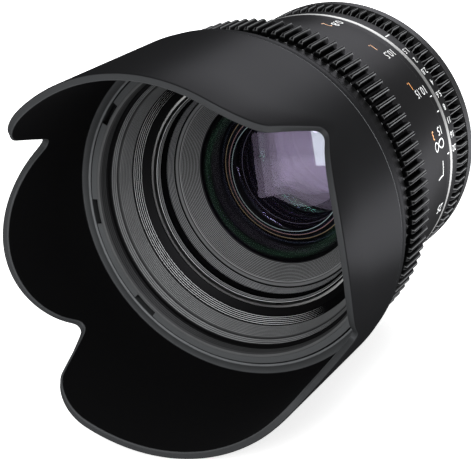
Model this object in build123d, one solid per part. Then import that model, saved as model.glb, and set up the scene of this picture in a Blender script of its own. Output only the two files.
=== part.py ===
from build123d import *
import os
from math import asin, atan2, cos, degrees, hypot, pi, radians, sin, sqrt, tan

# Cine prime lens, full frame, 50 mm, with geared focus and iris rings and a petal hood.
# Millimetres. The optical axis is the Y axis, the mount flange face is at Y = 0 and the
# lens looks along -Y, with +Z up. A station is a distance in front of the flange face,
# so a point at station s lies at Y = -s. Angles run from +X towards +Z.

os.makedirs("parts", exist_ok=True)

# Clearances and overruns shared by the pieces
running_gap = 0.06
seat_gap = 0.05
turning_gap = 0.3
cut_overrun = 2.0

# Camera bayonet
flange_radius = 32.5
flange_thickness = 2.2
throat_radius = 25.2
throat_wall = 2.2
throat_length = 5.5
lug_reach = 1.7
lug_gap = 2.4
lug_thickness = 1.4
lug_count = 3
lug_span = 46.0
lug_turn = 20.0
flange_screw_count = 4
flange_screw_circle = 29.2
flange_screw_turn = 45.0
lock_slot_radius = 1.6
lock_slot_circle = 29.2
lock_slot_angle = 0.0
rear_window_width = 31.0
rear_window_height = 24.0
rear_plate_thickness = 1.2
rear_plate_inset = 1.0

# Screws
screw_radius = 0.8
screw_head_radius = 1.5
screw_head_height = 1.0
screw_length = 5.0
socket_radius = 0.6
socket_depth = 0.6

# Rear housing, the fixed tube that carries the iris ring
housing_length = 19.9
housing_radius = 38.1
housing_ring_start = 5.2
housing_heel = 1.6
housing_ring_end = 8.0
housing_tube_radius = 35.0
housing_bore = 29.2
index_dot_radius = 1.0
index_dot_depth = 0.8
index_dot_station = 2.6
index_dot_angle = 90.0

# Iris ring and its gear
gear_module = 0.8
tooth_pressure_angle = 20.0
tooth_dedendum_share = 1.25
iris_gear_teeth = 93
iris_gear_length = 7.2
iris_gear_bevel = 2.9
iris_barrel_radius = 37.6
iris_throw = 53.0
fork_angle = 205.0
fork_width = 7.4
fork_length = 3.0
fork_inner_radius = 25.6
fork_pocket = 0.9
lever_width = 3.0
lever_inner_radius = 26.2
lever_engaged = 8.4

# Fixed rings between the iris ring and the focus ring
accent_radius = 38.0
accent_thickness = 2.0
index_ring_radius = 38.1
index_ring_thickness = 2.3
sleeve_flange_radius = 36.0
sleeve_flange_thickness = 1.4
index_screw_count = 4
index_screw_circle = 34.1
index_screw_turn = 10.0

# Guide sleeve, cam ring and the travel between them
block_radius = 30.9
guide_sleeve_wall = 1.5
guide_sleeve_end = 60.4
cam_wall = 1.9
focus_throw = 158.0
focus_travel = 7.0
guide_pin_count = 3
guide_pin_radius = 1.5
guide_pin_station = 33.0
guide_pin_turn = 90.0
cam_steps = 20
cam_flange_station = 46.0
cam_flange_thickness = 2.0
cam_flange_radius = 37.6
cam_screw_count = 4
cam_screw_circle = 36.3

# Focus ring and its gear
focus_gear_teeth = 108
focus_gear_length = 10.4
focus_gear_station = 51.8
focus_gear_bevel = 0.5
focus_land_radius = 38.3
focus_land_end = 28.9
focus_shoulder_radius = 41.6
focus_wall = 2.6
focus_spigot_radius = 40.4
focus_lip_radius = 35.3
focus_lip_thickness = 1.6
focus_rib_thickness = 1.8
stop_pin_radius = 0.8
stop_pin_circle = 36.9
stop_pin_reach = 1.2

# Front sleeve, filter ring and the fixed baffle
front_length = 74.7
front_sleeve_radius = 42.2
front_nose_radius = 41.3
front_sleeve_start = 62.5
front_nose_start = 71.2
front_hub_start = 57.6
front_hub_radius = 37.6
front_web = 1.5
hood_groove_depth = 1.4
hood_groove_width = 1.8
hood_groove_inset = 1.3
filter_radius = 38.5
filter_thread_length = 3.6
filter_ring_radius = 39.7
filter_chamfer = 0.4
hub_screw_count = 3
baffle_throat_radius = 31.5
baffle_throat_station = 60.9
baffle_flange_thickness = 1.6
baffle_ledge = 1.2
baffle_lip = 0.9
baffle_wall = 1.7
baffle_step = 0.5
baffle_fine_shares = (0.22, 0.14)
baffle_wide_shares = (0.51, 0.35)
baffle_outer_shares = (0.76, 0.81)
outer_rib_count = 5
outer_rib_depth = 0.3
wide_rib_count = 4
wide_rib_depth = 0.5
fine_rib_count = 5
fine_rib_depth = 0.45

# Petal hood
hood_base = 71.5
hood_base_radius = 44.2
hood_shoulder = 2.1
hood_shoulder_shares = (0.7, 0.3)
hood_radius = 46.3
hood_mouth_radius = 46.9
hood_wall = 2.2
hood_long = 120.0
hood_short = 108.6
hood_notch = 94.2
hood_notch_height = 26.4
hood_arch_half = 24.3
hood_notch_round = 2.8
hood_notch_room_share = 0.95
hood_flank_lean = 5.9
hood_corner_round = 11.0
hood_gap = 0.4
hood_lug_span = 8.0
hood_entry_span = 9.5
hood_lug_offsets = (-40.0, 0.0, 40.0, 140.0, 180.0, 220.0)
hood_throw = 90.0
hood_stop_span = 1.4
hood_stop_turn = 45.0
hood_stop_count = 2

# Optical block
block_rear = 23.0
block_wall = 1.5
block_front = 59.7
block_rim = 1.2
cell_screw_count = 3
cell_screw_station = 25.5
cell_screw_turn = 30.0
cell_screw_reach = 27.0
retainer_front = 53.0
retainer_radius = 28.4
retainer_land = 0.6
funnel_rear_radius = 28.9
funnel_front_radius = 30.2
funnel_rib_count = 8
funnel_rib_depth = 0.3
cone_rib_count = 9
cone_rib_depth = 0.25

# Glass. Each element is (rim radius, clear radius, front edge, rear edge, front radius,
# rear radius); a positive radius bulges to the front and zero is flat.
rim_land = 1.0
element_1 = (24.4, 23.4, 47.8, 45.0, 52.0, 120.0)
element_2 = (21.4, 20.4, 41.8, 39.0, 45.0, 70.0)
element_3 = (18.6, 17.6, 38.2, 36.7, 62.0, 0.0)
element_4 = (18.6, 16.6, 36.7, 32.3, 0.0, 40.0)
element_5 = (17.8, 16.8, 26.0, 21.2, -42.0, 0.0)
element_6 = (17.8, 16.8, 21.2, 19.0, 0.0, -48.0)
element_7 = (17.8, 16.8, 15.6, 13.8, -200.0, -56.0)
element_8 = (17.8, 16.8, 10.9, 9.3, -470.0, -80.0)
element_9 = (17.8, 16.8, 7.1, 5.3, -700.0, -160.0)
elements = (element_1, element_2, element_3, element_4, element_5, element_6,
            element_7, element_8, element_9)
front_ledge = 0.9
front_retainer_depth = 1.6
doublet_retainer_depth = 0.7

# Rear cell
rear_cell_radius = 21.0
rear_cell_end = 3.9
rear_flange_front = 26.8
rear_flange_thickness = 2.5
rear_retainer_radius = 18.6

# Iris
blade_count = 9
iris_base_thickness = 1.4
iris_open_radius = 15.6
iris_closed_radius = 1.2
blade_band = 6.0
blade_thickness = 0.1
blade_pitch = 0.16
blade_gap = 0.08
blade_pivot_circle = 25.1
blade_pin_offset = 5.6
blade_pin_radius = 0.6
blade_tab_margin = 0.55
blade_reach = 112.0
blade_start = 4.0
drive_ring_radius = 28.5
drive_ring_inner = 22.0
drive_ring_thickness = 1.5
drive_slot_depth = 1.0
drive_slot_steps = 10
pivot_hole_depth = 1.0

# Stations worked out from the sizes above
accent_station = housing_length
index_station = accent_station + accent_thickness
index_front = index_station + index_ring_thickness
guide_sleeve_bore = block_radius + running_gap
guide_sleeve_radius = guide_sleeve_bore + guide_sleeve_wall
cam_bore = guide_sleeve_radius + running_gap
cam_radius = cam_bore + cam_wall
focus_rear = index_front + turning_gap
focus_gear_front = focus_gear_station + focus_gear_length
iris_gear_station = housing_ring_end + turning_gap
iris_barrel_rear = iris_gear_station + iris_gear_length
iris_barrel_front = housing_length - turning_gap
iris_bore = housing_tube_radius + running_gap
block_bore = block_radius - block_wall
iris_base_front = element_4[3] - front_ledge
iris_base_rear = iris_base_front - iris_base_thickness
drive_ring_front = iris_base_rear - blade_gap - blade_count * blade_pitch
fork_front = iris_barrel_front - turning_gap
fork_rear = fork_front - fork_length
lever_rear = fork_rear + fork_length / 2 - lever_engaged
lever_outer_radius = drive_ring_radius


def place(radius, angle, station):
    """A point from its radius, its angle about the axis and its station."""
    return (radius * cos(radians(angle)), -station, radius * sin(radians(angle)))


def turn(shape, angle):
    """Turn a shape about the optical axis, from +X towards +Z."""
    return Rot(0, -angle, 0) * shape


def ringed(count, shape, start=0.0):
    """Copies of a shape, evenly spaced about the axis."""
    return [turn(shape, start + index * 360.0 / count) for index in range(count)]


def spin(points, arc=360.0):
    """Revolve a closed outline of (radius, station) points about the axis."""
    outline = Polyline(*[(radius, -station) for radius, station in points], close=True)
    return revolve(make_face(outline), Axis.Y, arc)


def tube(inner, outer, rear, front):
    return spin([(inner, rear), (outer, rear), (outer, front), (inner, front)])


def sector(inner, outer, rear, front, start, arc):
    """A slice of a tube from one angle over an arc."""
    outline = Polyline((inner, -rear), (outer, -rear), (outer, -front), (inner, -front), close=True)
    return turn(revolve(make_face(outline), Axis.Y, arc), start + arc)


def axial_rod(radius, circle, angle, rear, front):
    """A round rod along the axis direction, on a circle."""
    x, y, z = place(circle, angle, rear)
    length = front - rear
    return Plane(origin=(x, y, z), z_dir=(0, -1, 0)) * Cylinder(
        radius, length, align=(Align.CENTER, Align.CENTER, Align.MIN))


def radial_rod(radius, inner, outer, angle, station):
    """A round rod that points straight out from the axis."""
    direction = (cos(radians(angle)), 0, sin(radians(angle)))
    return Plane(origin=place(inner, angle, station), z_dir=direction) * Cylinder(
        radius, outer - inner, align=(Align.CENTER, Align.CENTER, Align.MIN))


def radial_block(inner, outer, width, rear, front, angle):
    """A square block that points out from the axis at an angle."""
    middle = (inner + outer) / 2
    block = Pos(middle, -(rear + front) / 2, 0) * Box(outer - inner, front - rear, width)
    return turn(block, angle)


def ribs(start, end, count, depth):
    """Points of a saw-tooth line between two (radius, station) points."""
    run_r, run_s = end[0] - start[0], end[1] - start[1]
    length = hypot(run_r, run_s)
    normal_r, normal_s = -run_s / length, run_r / length
    points = []
    for index in range(count):
        base, tip = index / count, (index + 0.5) / count
        points.append((start[0] + run_r * base, start[1] + run_s * base))
        points.append((start[0] + run_r * tip + normal_r * depth,
                       start[1] + run_s * tip + normal_s * depth))
    points.append(end)
    return points


def gear(teeth, bore, rear, front, rear_bevel, front_bevel):
    """A spur gear ring with straight-sided teeth and bevelled ends."""
    pitch_radius = gear_module * teeth / 2
    tip_radius = pitch_radius + gear_module
    root_radius = pitch_radius - gear_module * tooth_dedendum_share
    lean = tan(radians(tooth_pressure_angle))
    half_pitch_tooth = gear_module * pi / 4
    half_tip = half_pitch_tooth - gear_module * lean
    half_root = half_pitch_tooth + gear_module * tooth_dedendum_share * lean
    points = []
    for index in range(teeth):
        middle = 2 * pi * index / teeth
        corners = ((root_radius, -half_root), (tip_radius, -half_tip),
                   (tip_radius, half_tip), (root_radius, half_root))
        for radius, offset in corners:
            angle = middle + offset / radius
            points.append((radius * cos(angle), radius * sin(angle)))
    profile = make_face(Polyline(*points, close=True))
    blank = Plane(origin=(0, -rear, 0), z_dir=(0, -1, 0)) * extrude(profile, front - rear)
    depth = tip_radius - root_radius
    envelope = spin([
        (bore, rear), (tip_radius - min(rear_bevel, depth), rear),
        (tip_radius + seat_gap, rear + rear_bevel + seat_gap),
        (tip_radius + seat_gap, front - front_bevel - seat_gap),
        (tip_radius - min(front_bevel, depth), front), (bore, front)])
    return blank & envelope


def fuse(shapes):
    total = shapes[0]
    for shape in shapes[1:]:
        total = total + shape
    return total


def cap_screw(angle, circle, head_top, length, head_radius=screw_head_radius):
    """A small screw along the axis, its head towards the front, with a hexagon socket."""
    head_rear = head_top - screw_head_height
    body = axial_rod(head_radius, circle, angle, head_rear, head_top)
    body += axial_rod(screw_radius, circle, angle, head_rear - length, head_rear)
    x, y, z = place(circle, angle, head_top - socket_depth)
    socket = Plane(origin=(x, y, z), z_dir=(0, -1, 0)) * extrude(
        RegularPolygon(socket_radius, 6), socket_depth + cut_overrun)
    return body - socket


# Camera side

throat_bore = throat_radius - throat_wall
lug_radius = throat_radius + lug_reach


def mount_plate():
    plate = spin([(throat_bore, -throat_length), (throat_radius, -throat_length),
                  (throat_radius, 0), (flange_radius, 0), (flange_radius, flange_thickness),
                  (throat_bore, flange_thickness)])
    lug_rear = -lug_gap - lug_thickness
    lug = sector(throat_radius - seat_gap, lug_radius, lug_rear, -lug_gap, 0, lug_span)
    plate = fuse([plate] + ringed(lug_count, lug, lug_turn))
    for index in range(flange_screw_count):
        angle = flange_screw_turn + index * 360.0 / flange_screw_count
        plate -= axial_rod(screw_radius, flange_screw_circle, angle, -cut_overrun,
                           flange_thickness + cut_overrun)
        plate -= axial_rod(screw_head_radius, flange_screw_circle, angle, -cut_overrun,
                           screw_head_height)
    plate -= axial_rod(lock_slot_radius, lock_slot_circle, lock_slot_angle, -cut_overrun,
                       flange_thickness + cut_overrun)
    return plate


def mount_screws():
    """Screws whose heads lie flush in the rear face of the flange."""
    screws = []
    for index in range(flange_screw_count):
        angle = flange_screw_turn + index * 360.0 / flange_screw_count
        body = axial_rod(screw_head_radius, flange_screw_circle, angle, 0, screw_head_height)
        body += axial_rod(screw_radius, flange_screw_circle, angle, screw_head_height,
                          screw_length)
        x, y, z = place(flange_screw_circle, angle, socket_depth)
        socket = Plane(origin=(x, y, z), z_dir=(0, 1, 0)) * extrude(
            RegularPolygon(socket_radius, 6), socket_depth + cut_overrun)
        screws.append(body - socket)
    return Compound(children=screws)


def rear_light_baffle():
    """The plate with a square window that keeps stray light out of the throat."""
    rear = -throat_length + rear_plate_inset
    plate = tube(0, throat_bore - seat_gap, rear, rear + rear_plate_thickness)
    window = Pos(0, -rear, 0) * Box(rear_window_width, throat_length, rear_window_height)
    return plate - window


def rear_housing():
    body = spin([
        (housing_bore, flange_thickness), (flange_radius + seat_gap, flange_thickness),
        (flange_radius + seat_gap, 0), (flange_radius + housing_heel, 0),
        (housing_radius, housing_ring_start), (housing_radius, housing_ring_end),
        (housing_tube_radius, housing_ring_end), (housing_tube_radius, housing_length),
        (housing_bore, housing_length)])
    margin = degrees((fork_width / 2 + turning_gap) / housing_bore)
    body -= sector(housing_bore - cut_overrun, housing_tube_radius + cut_overrun,
                   fork_rear - turning_gap, housing_length + cut_overrun,
                   fork_angle - margin, iris_throw + 2 * margin)
    for index in range(flange_screw_count):
        angle = flange_screw_turn + index * 360.0 / flange_screw_count
        body -= axial_rod(screw_radius, flange_screw_circle, angle, 0, screw_length)
    for index in range(index_screw_count):
        angle = index_screw_turn + index * 360.0 / index_screw_count
        body -= axial_rod(screw_radius, index_screw_circle, angle,
                          index_front - screw_head_height - index_screw_length, housing_length)
    return body - heel_rod(index_dot_radius, index_dot_depth, cut_overrun)


def heel_rod(radius, depth, overrun):
    """A rod square to the sloping heel of the housing, from a depth below it to an overrun."""
    rise = housing_radius - flange_radius - housing_heel
    slope = hypot(rise, housing_ring_start)
    outward, backward = housing_ring_start / slope, rise / slope
    heel_radius = flange_radius + housing_heel + rise * index_dot_station / housing_ring_start
    turned = radians(index_dot_angle)
    direction = (outward * cos(turned), backward, outward * sin(turned))
    foot = place(heel_radius - depth * outward, index_dot_angle,
                 index_dot_station + depth * backward)
    return Plane(origin=foot, z_dir=direction) * Cylinder(
        radius, depth + overrun, align=(Align.CENTER, Align.CENTER, Align.MIN))


def mount_index():
    """The painted dot that lines up with the camera's own mark."""
    return heel_rod(index_dot_radius, index_dot_depth, 0)


# Iris ring

index_screw_length = index_front - screw_head_height - housing_length + screw_length
iris_pocket_radius = iris_bore + fork_pocket


def iris_barrel():
    edge = turning_gap
    body = spin([
        (iris_bore, iris_barrel_rear), (iris_barrel_radius, iris_barrel_rear),
        (iris_barrel_radius, iris_barrel_front - edge),
        (iris_barrel_radius - edge, iris_barrel_front), (iris_bore, iris_barrel_front)])
    return body - radial_block(housing_tube_radius - cut_overrun, iris_pocket_radius, fork_width,
                               fork_rear, fork_front, fork_angle)


def iris_gear():
    return gear(iris_gear_teeth, iris_bore, iris_gear_station, iris_barrel_rear,
                seat_gap, iris_gear_bevel)


def iris_fork():
    """The fork under the iris ring that reaches in to the iris lever."""
    body = radial_block(fork_inner_radius, iris_pocket_radius, fork_width, fork_rear,
                        fork_front, fork_angle)
    notch_width = lever_width + 2 * running_gap
    notch = radial_block(fork_inner_radius - cut_overrun, lever_outer_radius + turning_gap,
                         notch_width, fork_rear - cut_overrun, fork_front + cut_overrun,
                         fork_angle)
    return (body - notch) & tube(0, iris_pocket_radius, fork_rear, fork_front)


# Fixed rings and the guide sleeve

sleeve_flange_front = housing_length + sleeve_flange_thickness


def index_screw_holes(body):
    for index in range(index_screw_count):
        angle = index_screw_turn + index * 360.0 / index_screw_count
        body -= axial_rod(screw_radius, index_screw_circle, angle, housing_length - cut_overrun,
                          index_front + cut_overrun)
        body -= axial_rod(screw_head_radius, index_screw_circle, angle,
                          index_front - screw_head_height, index_front + cut_overrun)
    return body


def accent_ring():
    return tube(sleeve_flange_radius + seat_gap, accent_radius, accent_station, index_station)


def index_ring():
    """The fixed ring that carries the witness marks, with the groove of the focus stop."""
    body = spin([
        (guide_sleeve_radius + seat_gap, sleeve_flange_front),
        (sleeve_flange_radius, sleeve_flange_front), (sleeve_flange_radius, index_station),
        (index_ring_radius, index_station), (index_ring_radius, index_front),
        (guide_sleeve_radius + seat_gap, index_front)])
    half = stop_pin_radius + turning_gap
    margin = degrees(half / stop_pin_circle)
    body -= sector(stop_pin_circle - half, stop_pin_circle + half, index_front - stop_pin_reach,
                   index_front + cut_overrun, stop_pin_angle - focus_throw - margin,
                   focus_throw + 2 * margin)
    return index_screw_holes(body)


def index_screws():
    return Compound(children=[
        cap_screw(index_screw_turn + index * 360.0 / index_screw_count, index_screw_circle,
                  index_front, index_screw_length - screw_head_height)
        for index in range(index_screw_count)])


def guide_sleeve():
    """The fixed inner tube, with straight slots that stop the optical block turning."""
    body = spin([
        (guide_sleeve_bore, housing_length), (sleeve_flange_radius, housing_length),
        (sleeve_flange_radius, sleeve_flange_front), (guide_sleeve_radius, sleeve_flange_front),
        (guide_sleeve_radius, guide_sleeve_end), (guide_sleeve_bore, guide_sleeve_end)])
    body = index_screw_holes(body)
    slot_width = 2 * (guide_pin_radius + running_gap)
    slot_end = guide_pin_radius + turning_gap
    slot = radial_block(guide_sleeve_bore - cut_overrun, guide_sleeve_radius + cut_overrun,
                        slot_width, guide_pin_station - slot_end,
                        guide_pin_station + focus_travel + slot_end, 0)
    for piece in ringed(guide_pin_count, slot, guide_pin_turn):
        body -= piece
    for index in range(hub_screw_count):
        body -= radial_rod(screw_radius, guide_sleeve_bore - cut_overrun,
                           guide_sleeve_radius + cut_overrun, hub_screw_angle(index),
                           hub_screw_station)
    return body


# Focus ring

stop_pin_angle = guide_pin_turn + focus_throw
focus_spigot_front = focus_gear_front - focus_gear_bevel
focus_rib_front = cam_flange_station
cam_front = front_hub_start - turning_gap
hub_screw_station = (guide_sleeve_end + front_hub_start) / 2


def hub_screw_angle(index):
    return guide_pin_turn + (index + 0.5) * 360.0 / hub_screw_count


def focus_barrel():
    cone_wall_rear = focus_land_radius - focus_wall
    spigot_bore = focus_spigot_radius - focus_wall + turning_gap
    body = spin([
        (focus_lip_radius, focus_rear), (focus_land_radius, focus_rear),
        (focus_land_radius, focus_land_end), (focus_shoulder_radius, focus_gear_station),
        (focus_spigot_radius, focus_gear_station), (focus_spigot_radius, focus_spigot_front),
        (spigot_bore, focus_spigot_front), (spigot_bore, focus_rib_front),
        (cam_radius + turning_gap, focus_rib_front),
        (cam_radius + turning_gap, focus_rib_front - focus_rib_thickness),
        (cone_wall_rear, focus_rib_front - 2 * focus_rib_thickness),
        (cone_wall_rear, focus_rear + focus_lip_thickness),
        (focus_lip_radius, focus_rear + focus_lip_thickness)])
    for index in range(cam_screw_count):
        body -= axial_rod(screw_radius, cam_screw_circle, cam_screw_angle(index),
                          focus_rib_front - focus_rib_thickness - cut_overrun,
                          focus_rib_front + cut_overrun)
    return body - axial_rod(stop_pin_radius, stop_pin_circle, stop_pin_angle,
                            focus_rear - cut_overrun, focus_rear + focus_lip_thickness)


def focus_gear():
    return gear(focus_gear_teeth, focus_spigot_radius, focus_gear_station, focus_gear_front,
                focus_gear_bevel, focus_gear_bevel)


def focus_stop_pin():
    return axial_rod(stop_pin_radius, stop_pin_circle, stop_pin_angle,
                     index_front - stop_pin_reach + turning_gap,
                     focus_rear + focus_lip_thickness)


def cam_screw_angle(index):
    return index * 360.0 / cam_screw_count


def cam_slot():
    """One helical slot, as a chain of short blocks along the path of a guide pin."""
    half_width = guide_pin_radius + 2 * running_gap
    step = focus_throw / cam_steps
    rise = focus_travel / cam_steps
    outer = cam_radius + cut_overrun
    inner = cam_bore - cut_overrun
    length = radians(step) * outer + half_width / 4
    slope = degrees(atan2(rise, radians(step) * cam_radius))
    pieces = []
    for index in range(cam_steps):
        block = Rot(slope, 0, 0) * Box(outer - inner, 2 * half_width, length)
        station = guide_pin_station + rise * (index + 0.5)
        block = Pos((inner + outer) / 2, -station, 0) * block
        pieces.append(turn(block, step * (index + 0.5)))
    ends = [radial_rod(half_width, inner, outer, focus_throw * share,
                       guide_pin_station + focus_travel * share) for share in (0, 1)]
    return fuse(ends + pieces)


def cam_ring():
    flange_front = cam_flange_station + cam_flange_thickness
    body = spin([
        (cam_bore, focus_rear), (cam_radius, focus_rear), (cam_radius, cam_flange_station),
        (cam_flange_radius, cam_flange_station), (cam_flange_radius, flange_front),
        (cam_radius, flange_front), (cam_radius, cam_front), (cam_bore, cam_front)])
    slot = cam_slot()
    for piece in ringed(guide_pin_count, slot, guide_pin_turn):
        body -= piece
    for index in range(cam_screw_count):
        body -= axial_rod(screw_radius, cam_screw_circle, cam_screw_angle(index),
                          cam_flange_station - cut_overrun, flange_front + cut_overrun)
    return body


def cam_screws():
    head_top = cam_flange_station + cam_flange_thickness + screw_head_height
    length = cam_flange_thickness + focus_rib_thickness
    head = min(screw_head_radius, cam_screw_circle - cam_radius - seat_gap)
    return Compound(children=[
        cap_screw(cam_screw_angle(index), cam_screw_circle, head_top, length, head)
        for index in range(cam_screw_count)])


# Front of the barrel

filter_ring_rear = front_length - filter_thread_length
baffle_seat = filter_ring_rear - baffle_flange_thickness
groove_front = front_length - hood_groove_inset
groove_rear = groove_front - hood_groove_width
groove_floor = front_nose_radius - hood_groove_depth


def front_sleeve():
    """The fixed front barrel, with its hub on the guide sleeve and the hood's groove."""
    hub_bore = guide_sleeve_radius + seat_gap
    front = front_length - seat_gap
    body = spin([
        (hub_bore, front_hub_start), (front_hub_radius, front_hub_start),
        (front_hub_radius, front_sleeve_start), (front_sleeve_radius, front_sleeve_start),
        (front_sleeve_radius, front_nose_start), (front_nose_radius, front_nose_start),
        (front_nose_radius, front), (filter_ring_radius, front),
        (filter_ring_radius, baffle_seat), (filter_ring_radius - baffle_ledge, baffle_seat),
        (wide_point[0] + baffle_wall + turning_gap, wide_point[1]),
        (front_hub_radius - front_web - baffle_ledge, guide_sleeve_end),
        (hub_bore, guide_sleeve_end)])
    outer = front_nose_radius + cut_overrun
    groove = tube(groove_floor, outer, groove_rear, groove_front)
    stop = sector(groove_floor - cut_overrun, outer + cut_overrun, groove_rear - cut_overrun,
                  groove_front + cut_overrun, hood_stop_turn - hood_stop_span / 2, hood_stop_span)
    for piece in ringed(hood_stop_count, stop):
        groove -= piece
    body -= groove
    entry = sector(groove_floor, outer, (groove_rear + groove_front) / 2,
                   front_length + cut_overrun, -hood_entry_span / 2, hood_entry_span)
    for offset in hood_lug_offsets:
        body -= turn(entry, offset)
    for index in range(hub_screw_count):
        body -= radial_rod(screw_radius, hub_bore - cut_overrun, front_hub_radius + cut_overrun,
                           hub_screw_angle(index), hub_screw_station)
    return body


def hub_screws():
    """Grub screws that lock the front barrel to the guide sleeve."""
    return Compound(children=[
        radial_rod(screw_radius, guide_sleeve_bore + seat_gap, front_hub_radius - seat_gap,
                   hub_screw_angle(index), hub_screw_station) for index in range(hub_screw_count)])


def filter_ring():
    return spin([
        (filter_radius, filter_ring_rear), (filter_ring_radius, filter_ring_rear),
        (filter_ring_radius, front_length), (filter_radius + filter_chamfer, front_length),
        (filter_radius, front_length - filter_chamfer)])


def baffle_point(shares):
    """A point of the baffle's inner line, from the throat to its front lip."""
    run_r = filter_radius - baffle_throat_radius
    run_s = filter_ring_rear - baffle_throat_station
    return (baffle_throat_radius + run_r * shares[0], baffle_throat_station + run_s * shares[1])


fine_point = baffle_point(baffle_fine_shares)
wide_point = baffle_point(baffle_wide_shares)
outer_point = baffle_point(baffle_outer_shares)


def front_baffle():
    """The fixed stepped and ribbed funnel behind the filter thread."""
    lip = filter_radius - baffle_lip
    edge = filter_ring_radius - seat_gap
    line = [(edge, baffle_seat), (edge, filter_ring_rear), (lip, filter_ring_rear)]
    line += ribs((lip, filter_ring_rear - baffle_step), outer_point, outer_rib_count,
                 outer_rib_depth)
    line += ribs((outer_point[0] - baffle_step, outer_point[1] - baffle_step), wide_point,
                 wide_rib_count, wide_rib_depth)
    line += ribs((wide_point[0] - baffle_step / 2, wide_point[1] - baffle_step / 2), fine_point,
                 fine_rib_count, fine_rib_depth)
    line += [(baffle_throat_radius, baffle_throat_station),
             (baffle_throat_radius, guide_sleeve_end),
             (front_hub_radius - front_web - baffle_ledge - turning_gap, guide_sleeve_end),
             (wide_point[0] + baffle_wall, wide_point[1]),
             (filter_ring_radius - baffle_ledge - turning_gap, baffle_seat)]
    return spin(line)


# Hood

def hood_lugs():
    lug = sector(groove_floor + hood_gap, hood_lip_radius + seat_gap, groove_rear + turning_gap,
                 groove_front - turning_gap, -hood_lug_span / 2, hood_lug_span)
    return [turn(lug, offset + hood_throw) for offset in hood_lug_offsets]


hood_lip_radius = front_nose_radius + hood_gap


def petal_cuts():
    """What is cut away between the petals, in the directions in which the mould parts."""
    reach = hood_mouth_radius + cut_overrun
    beyond = hood_long + cut_overrun
    side = Polyline((hood_arch_half, hood_notch), (hood_notch_height, hood_notch),
                    (hood_notch_height, beyond), (-hood_notch_height, beyond),
                    (-hood_notch_height, hood_notch), (-hood_arch_half, hood_notch))
    arch = ThreePointArc((-hood_arch_half, hood_notch), (0, hood_short),
                         (hood_arch_half, hood_notch))
    opening = make_face(side + arch)
    arch_rise = hood_short - hood_notch
    room = (hood_notch_height - hood_arch_half) * hood_arch_half / arch_rise
    notch_round = min(hood_notch_round, room * hood_notch_room_share)
    for sign in (1, -1):
        corner = opening.vertices().sort_by_distance((sign * hood_arch_half, hood_notch))[0]
        opening = fillet(corner, notch_round)
    sideways = Plane(origin=(0, 0, 0), x_dir=(0, 0, 1), z_dir=(1, 0, 0))
    cuts = [extrude(sideways * opening, reach, both=True)]
    foot_x = sqrt(hood_mouth_radius ** 2 - hood_notch_height ** 2)
    corner_x = foot_x - hood_flank_lean
    flat_x = corner_x - hood_corner_round
    flank = make_face(Polyline(
        (foot_x, hood_notch), (corner_x, hood_long), (flat_x, hood_long), (flat_x, beyond),
        (reach, beyond), (reach, hood_notch), close=True))
    for corner, size in (((foot_x, hood_notch), hood_notch_round),
                         ((corner_x, hood_long), hood_corner_round)):
        flank = fillet(flank.vertices().sort_by_distance(corner)[0], size)
    upwards = Plane(origin=(0, 0, hood_notch_height), x_dir=(1, 0, 0), z_dir=(0, 0, -1))
    for outline in (flank, mirror(flank, Plane.YZ)):
        piece = extrude(upwards * outline, hood_notch_height - reach)
        cuts += [piece, mirror(piece, Plane.XY)]
    return cuts


def hood():
    flare = (hood_mouth_radius - hood_radius) / (hood_long - hood_base)
    inner_base = hood_radius - hood_wall + flare * (front_length - hood_base)
    body = spin([
        (hood_lip_radius, hood_base), (hood_base_radius, hood_base),
        (hood_base_radius + (hood_radius - hood_base_radius) * hood_shoulder_shares[0],
         hood_base + hood_shoulder * hood_shoulder_shares[1]),
        (hood_radius, hood_base + hood_shoulder), (hood_mouth_radius, hood_long),
        (hood_mouth_radius - hood_wall, hood_long), (inner_base, front_length),
        (hood_lip_radius, front_length)])
    for cut in petal_cuts():
        body -= cut
    return fuse([body] + hood_lugs())


# Optical block

pin_inner_radius = block_bore + seat_gap


def block_tube():
    body = tube(block_bore, block_radius, block_rear, block_front - block_rim)
    for index in range(guide_pin_count):
        angle = guide_pin_turn + index * 360.0 / guide_pin_count
        body -= radial_rod(guide_pin_radius, block_bore - cut_overrun,
                           block_radius + cut_overrun, angle, guide_pin_station)
    for index in range(cell_screw_count):
        body -= radial_rod(screw_radius, block_bore - cut_overrun, block_radius + cut_overrun,
                           cell_screw_angle(index), cell_screw_station)
    return body


def guide_pins():
    """Pins of the optical block that run in the straight slots and the cam slots."""
    return Compound(children=[
        radial_rod(guide_pin_radius, pin_inner_radius, cam_radius - seat_gap,
                   guide_pin_turn + index * 360.0 / guide_pin_count, guide_pin_station)
        for index in range(guide_pin_count)])


def cell_screw_angle(index):
    return cell_screw_turn + index * 360.0 / cell_screw_count


def cell_screws():
    return Compound(children=[
        radial_rod(screw_radius, cell_screw_reach, block_radius - seat_gap,
                   cell_screw_angle(index), cell_screw_station)
        for index in range(cell_screw_count)])


retainer_rear = element_1[2] + retainer_land
doublet_ledge = element_2[3]
glass_1_bore = element_1[0] + seat_gap
glass_2_bore = element_2[0] + seat_gap
glass_3_bore = element_3[0] + seat_gap
ring_2_radius = glass_2_bore + rim_land - seat_gap
ring_3_radius = glass_3_bore + rim_land / 2


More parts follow.
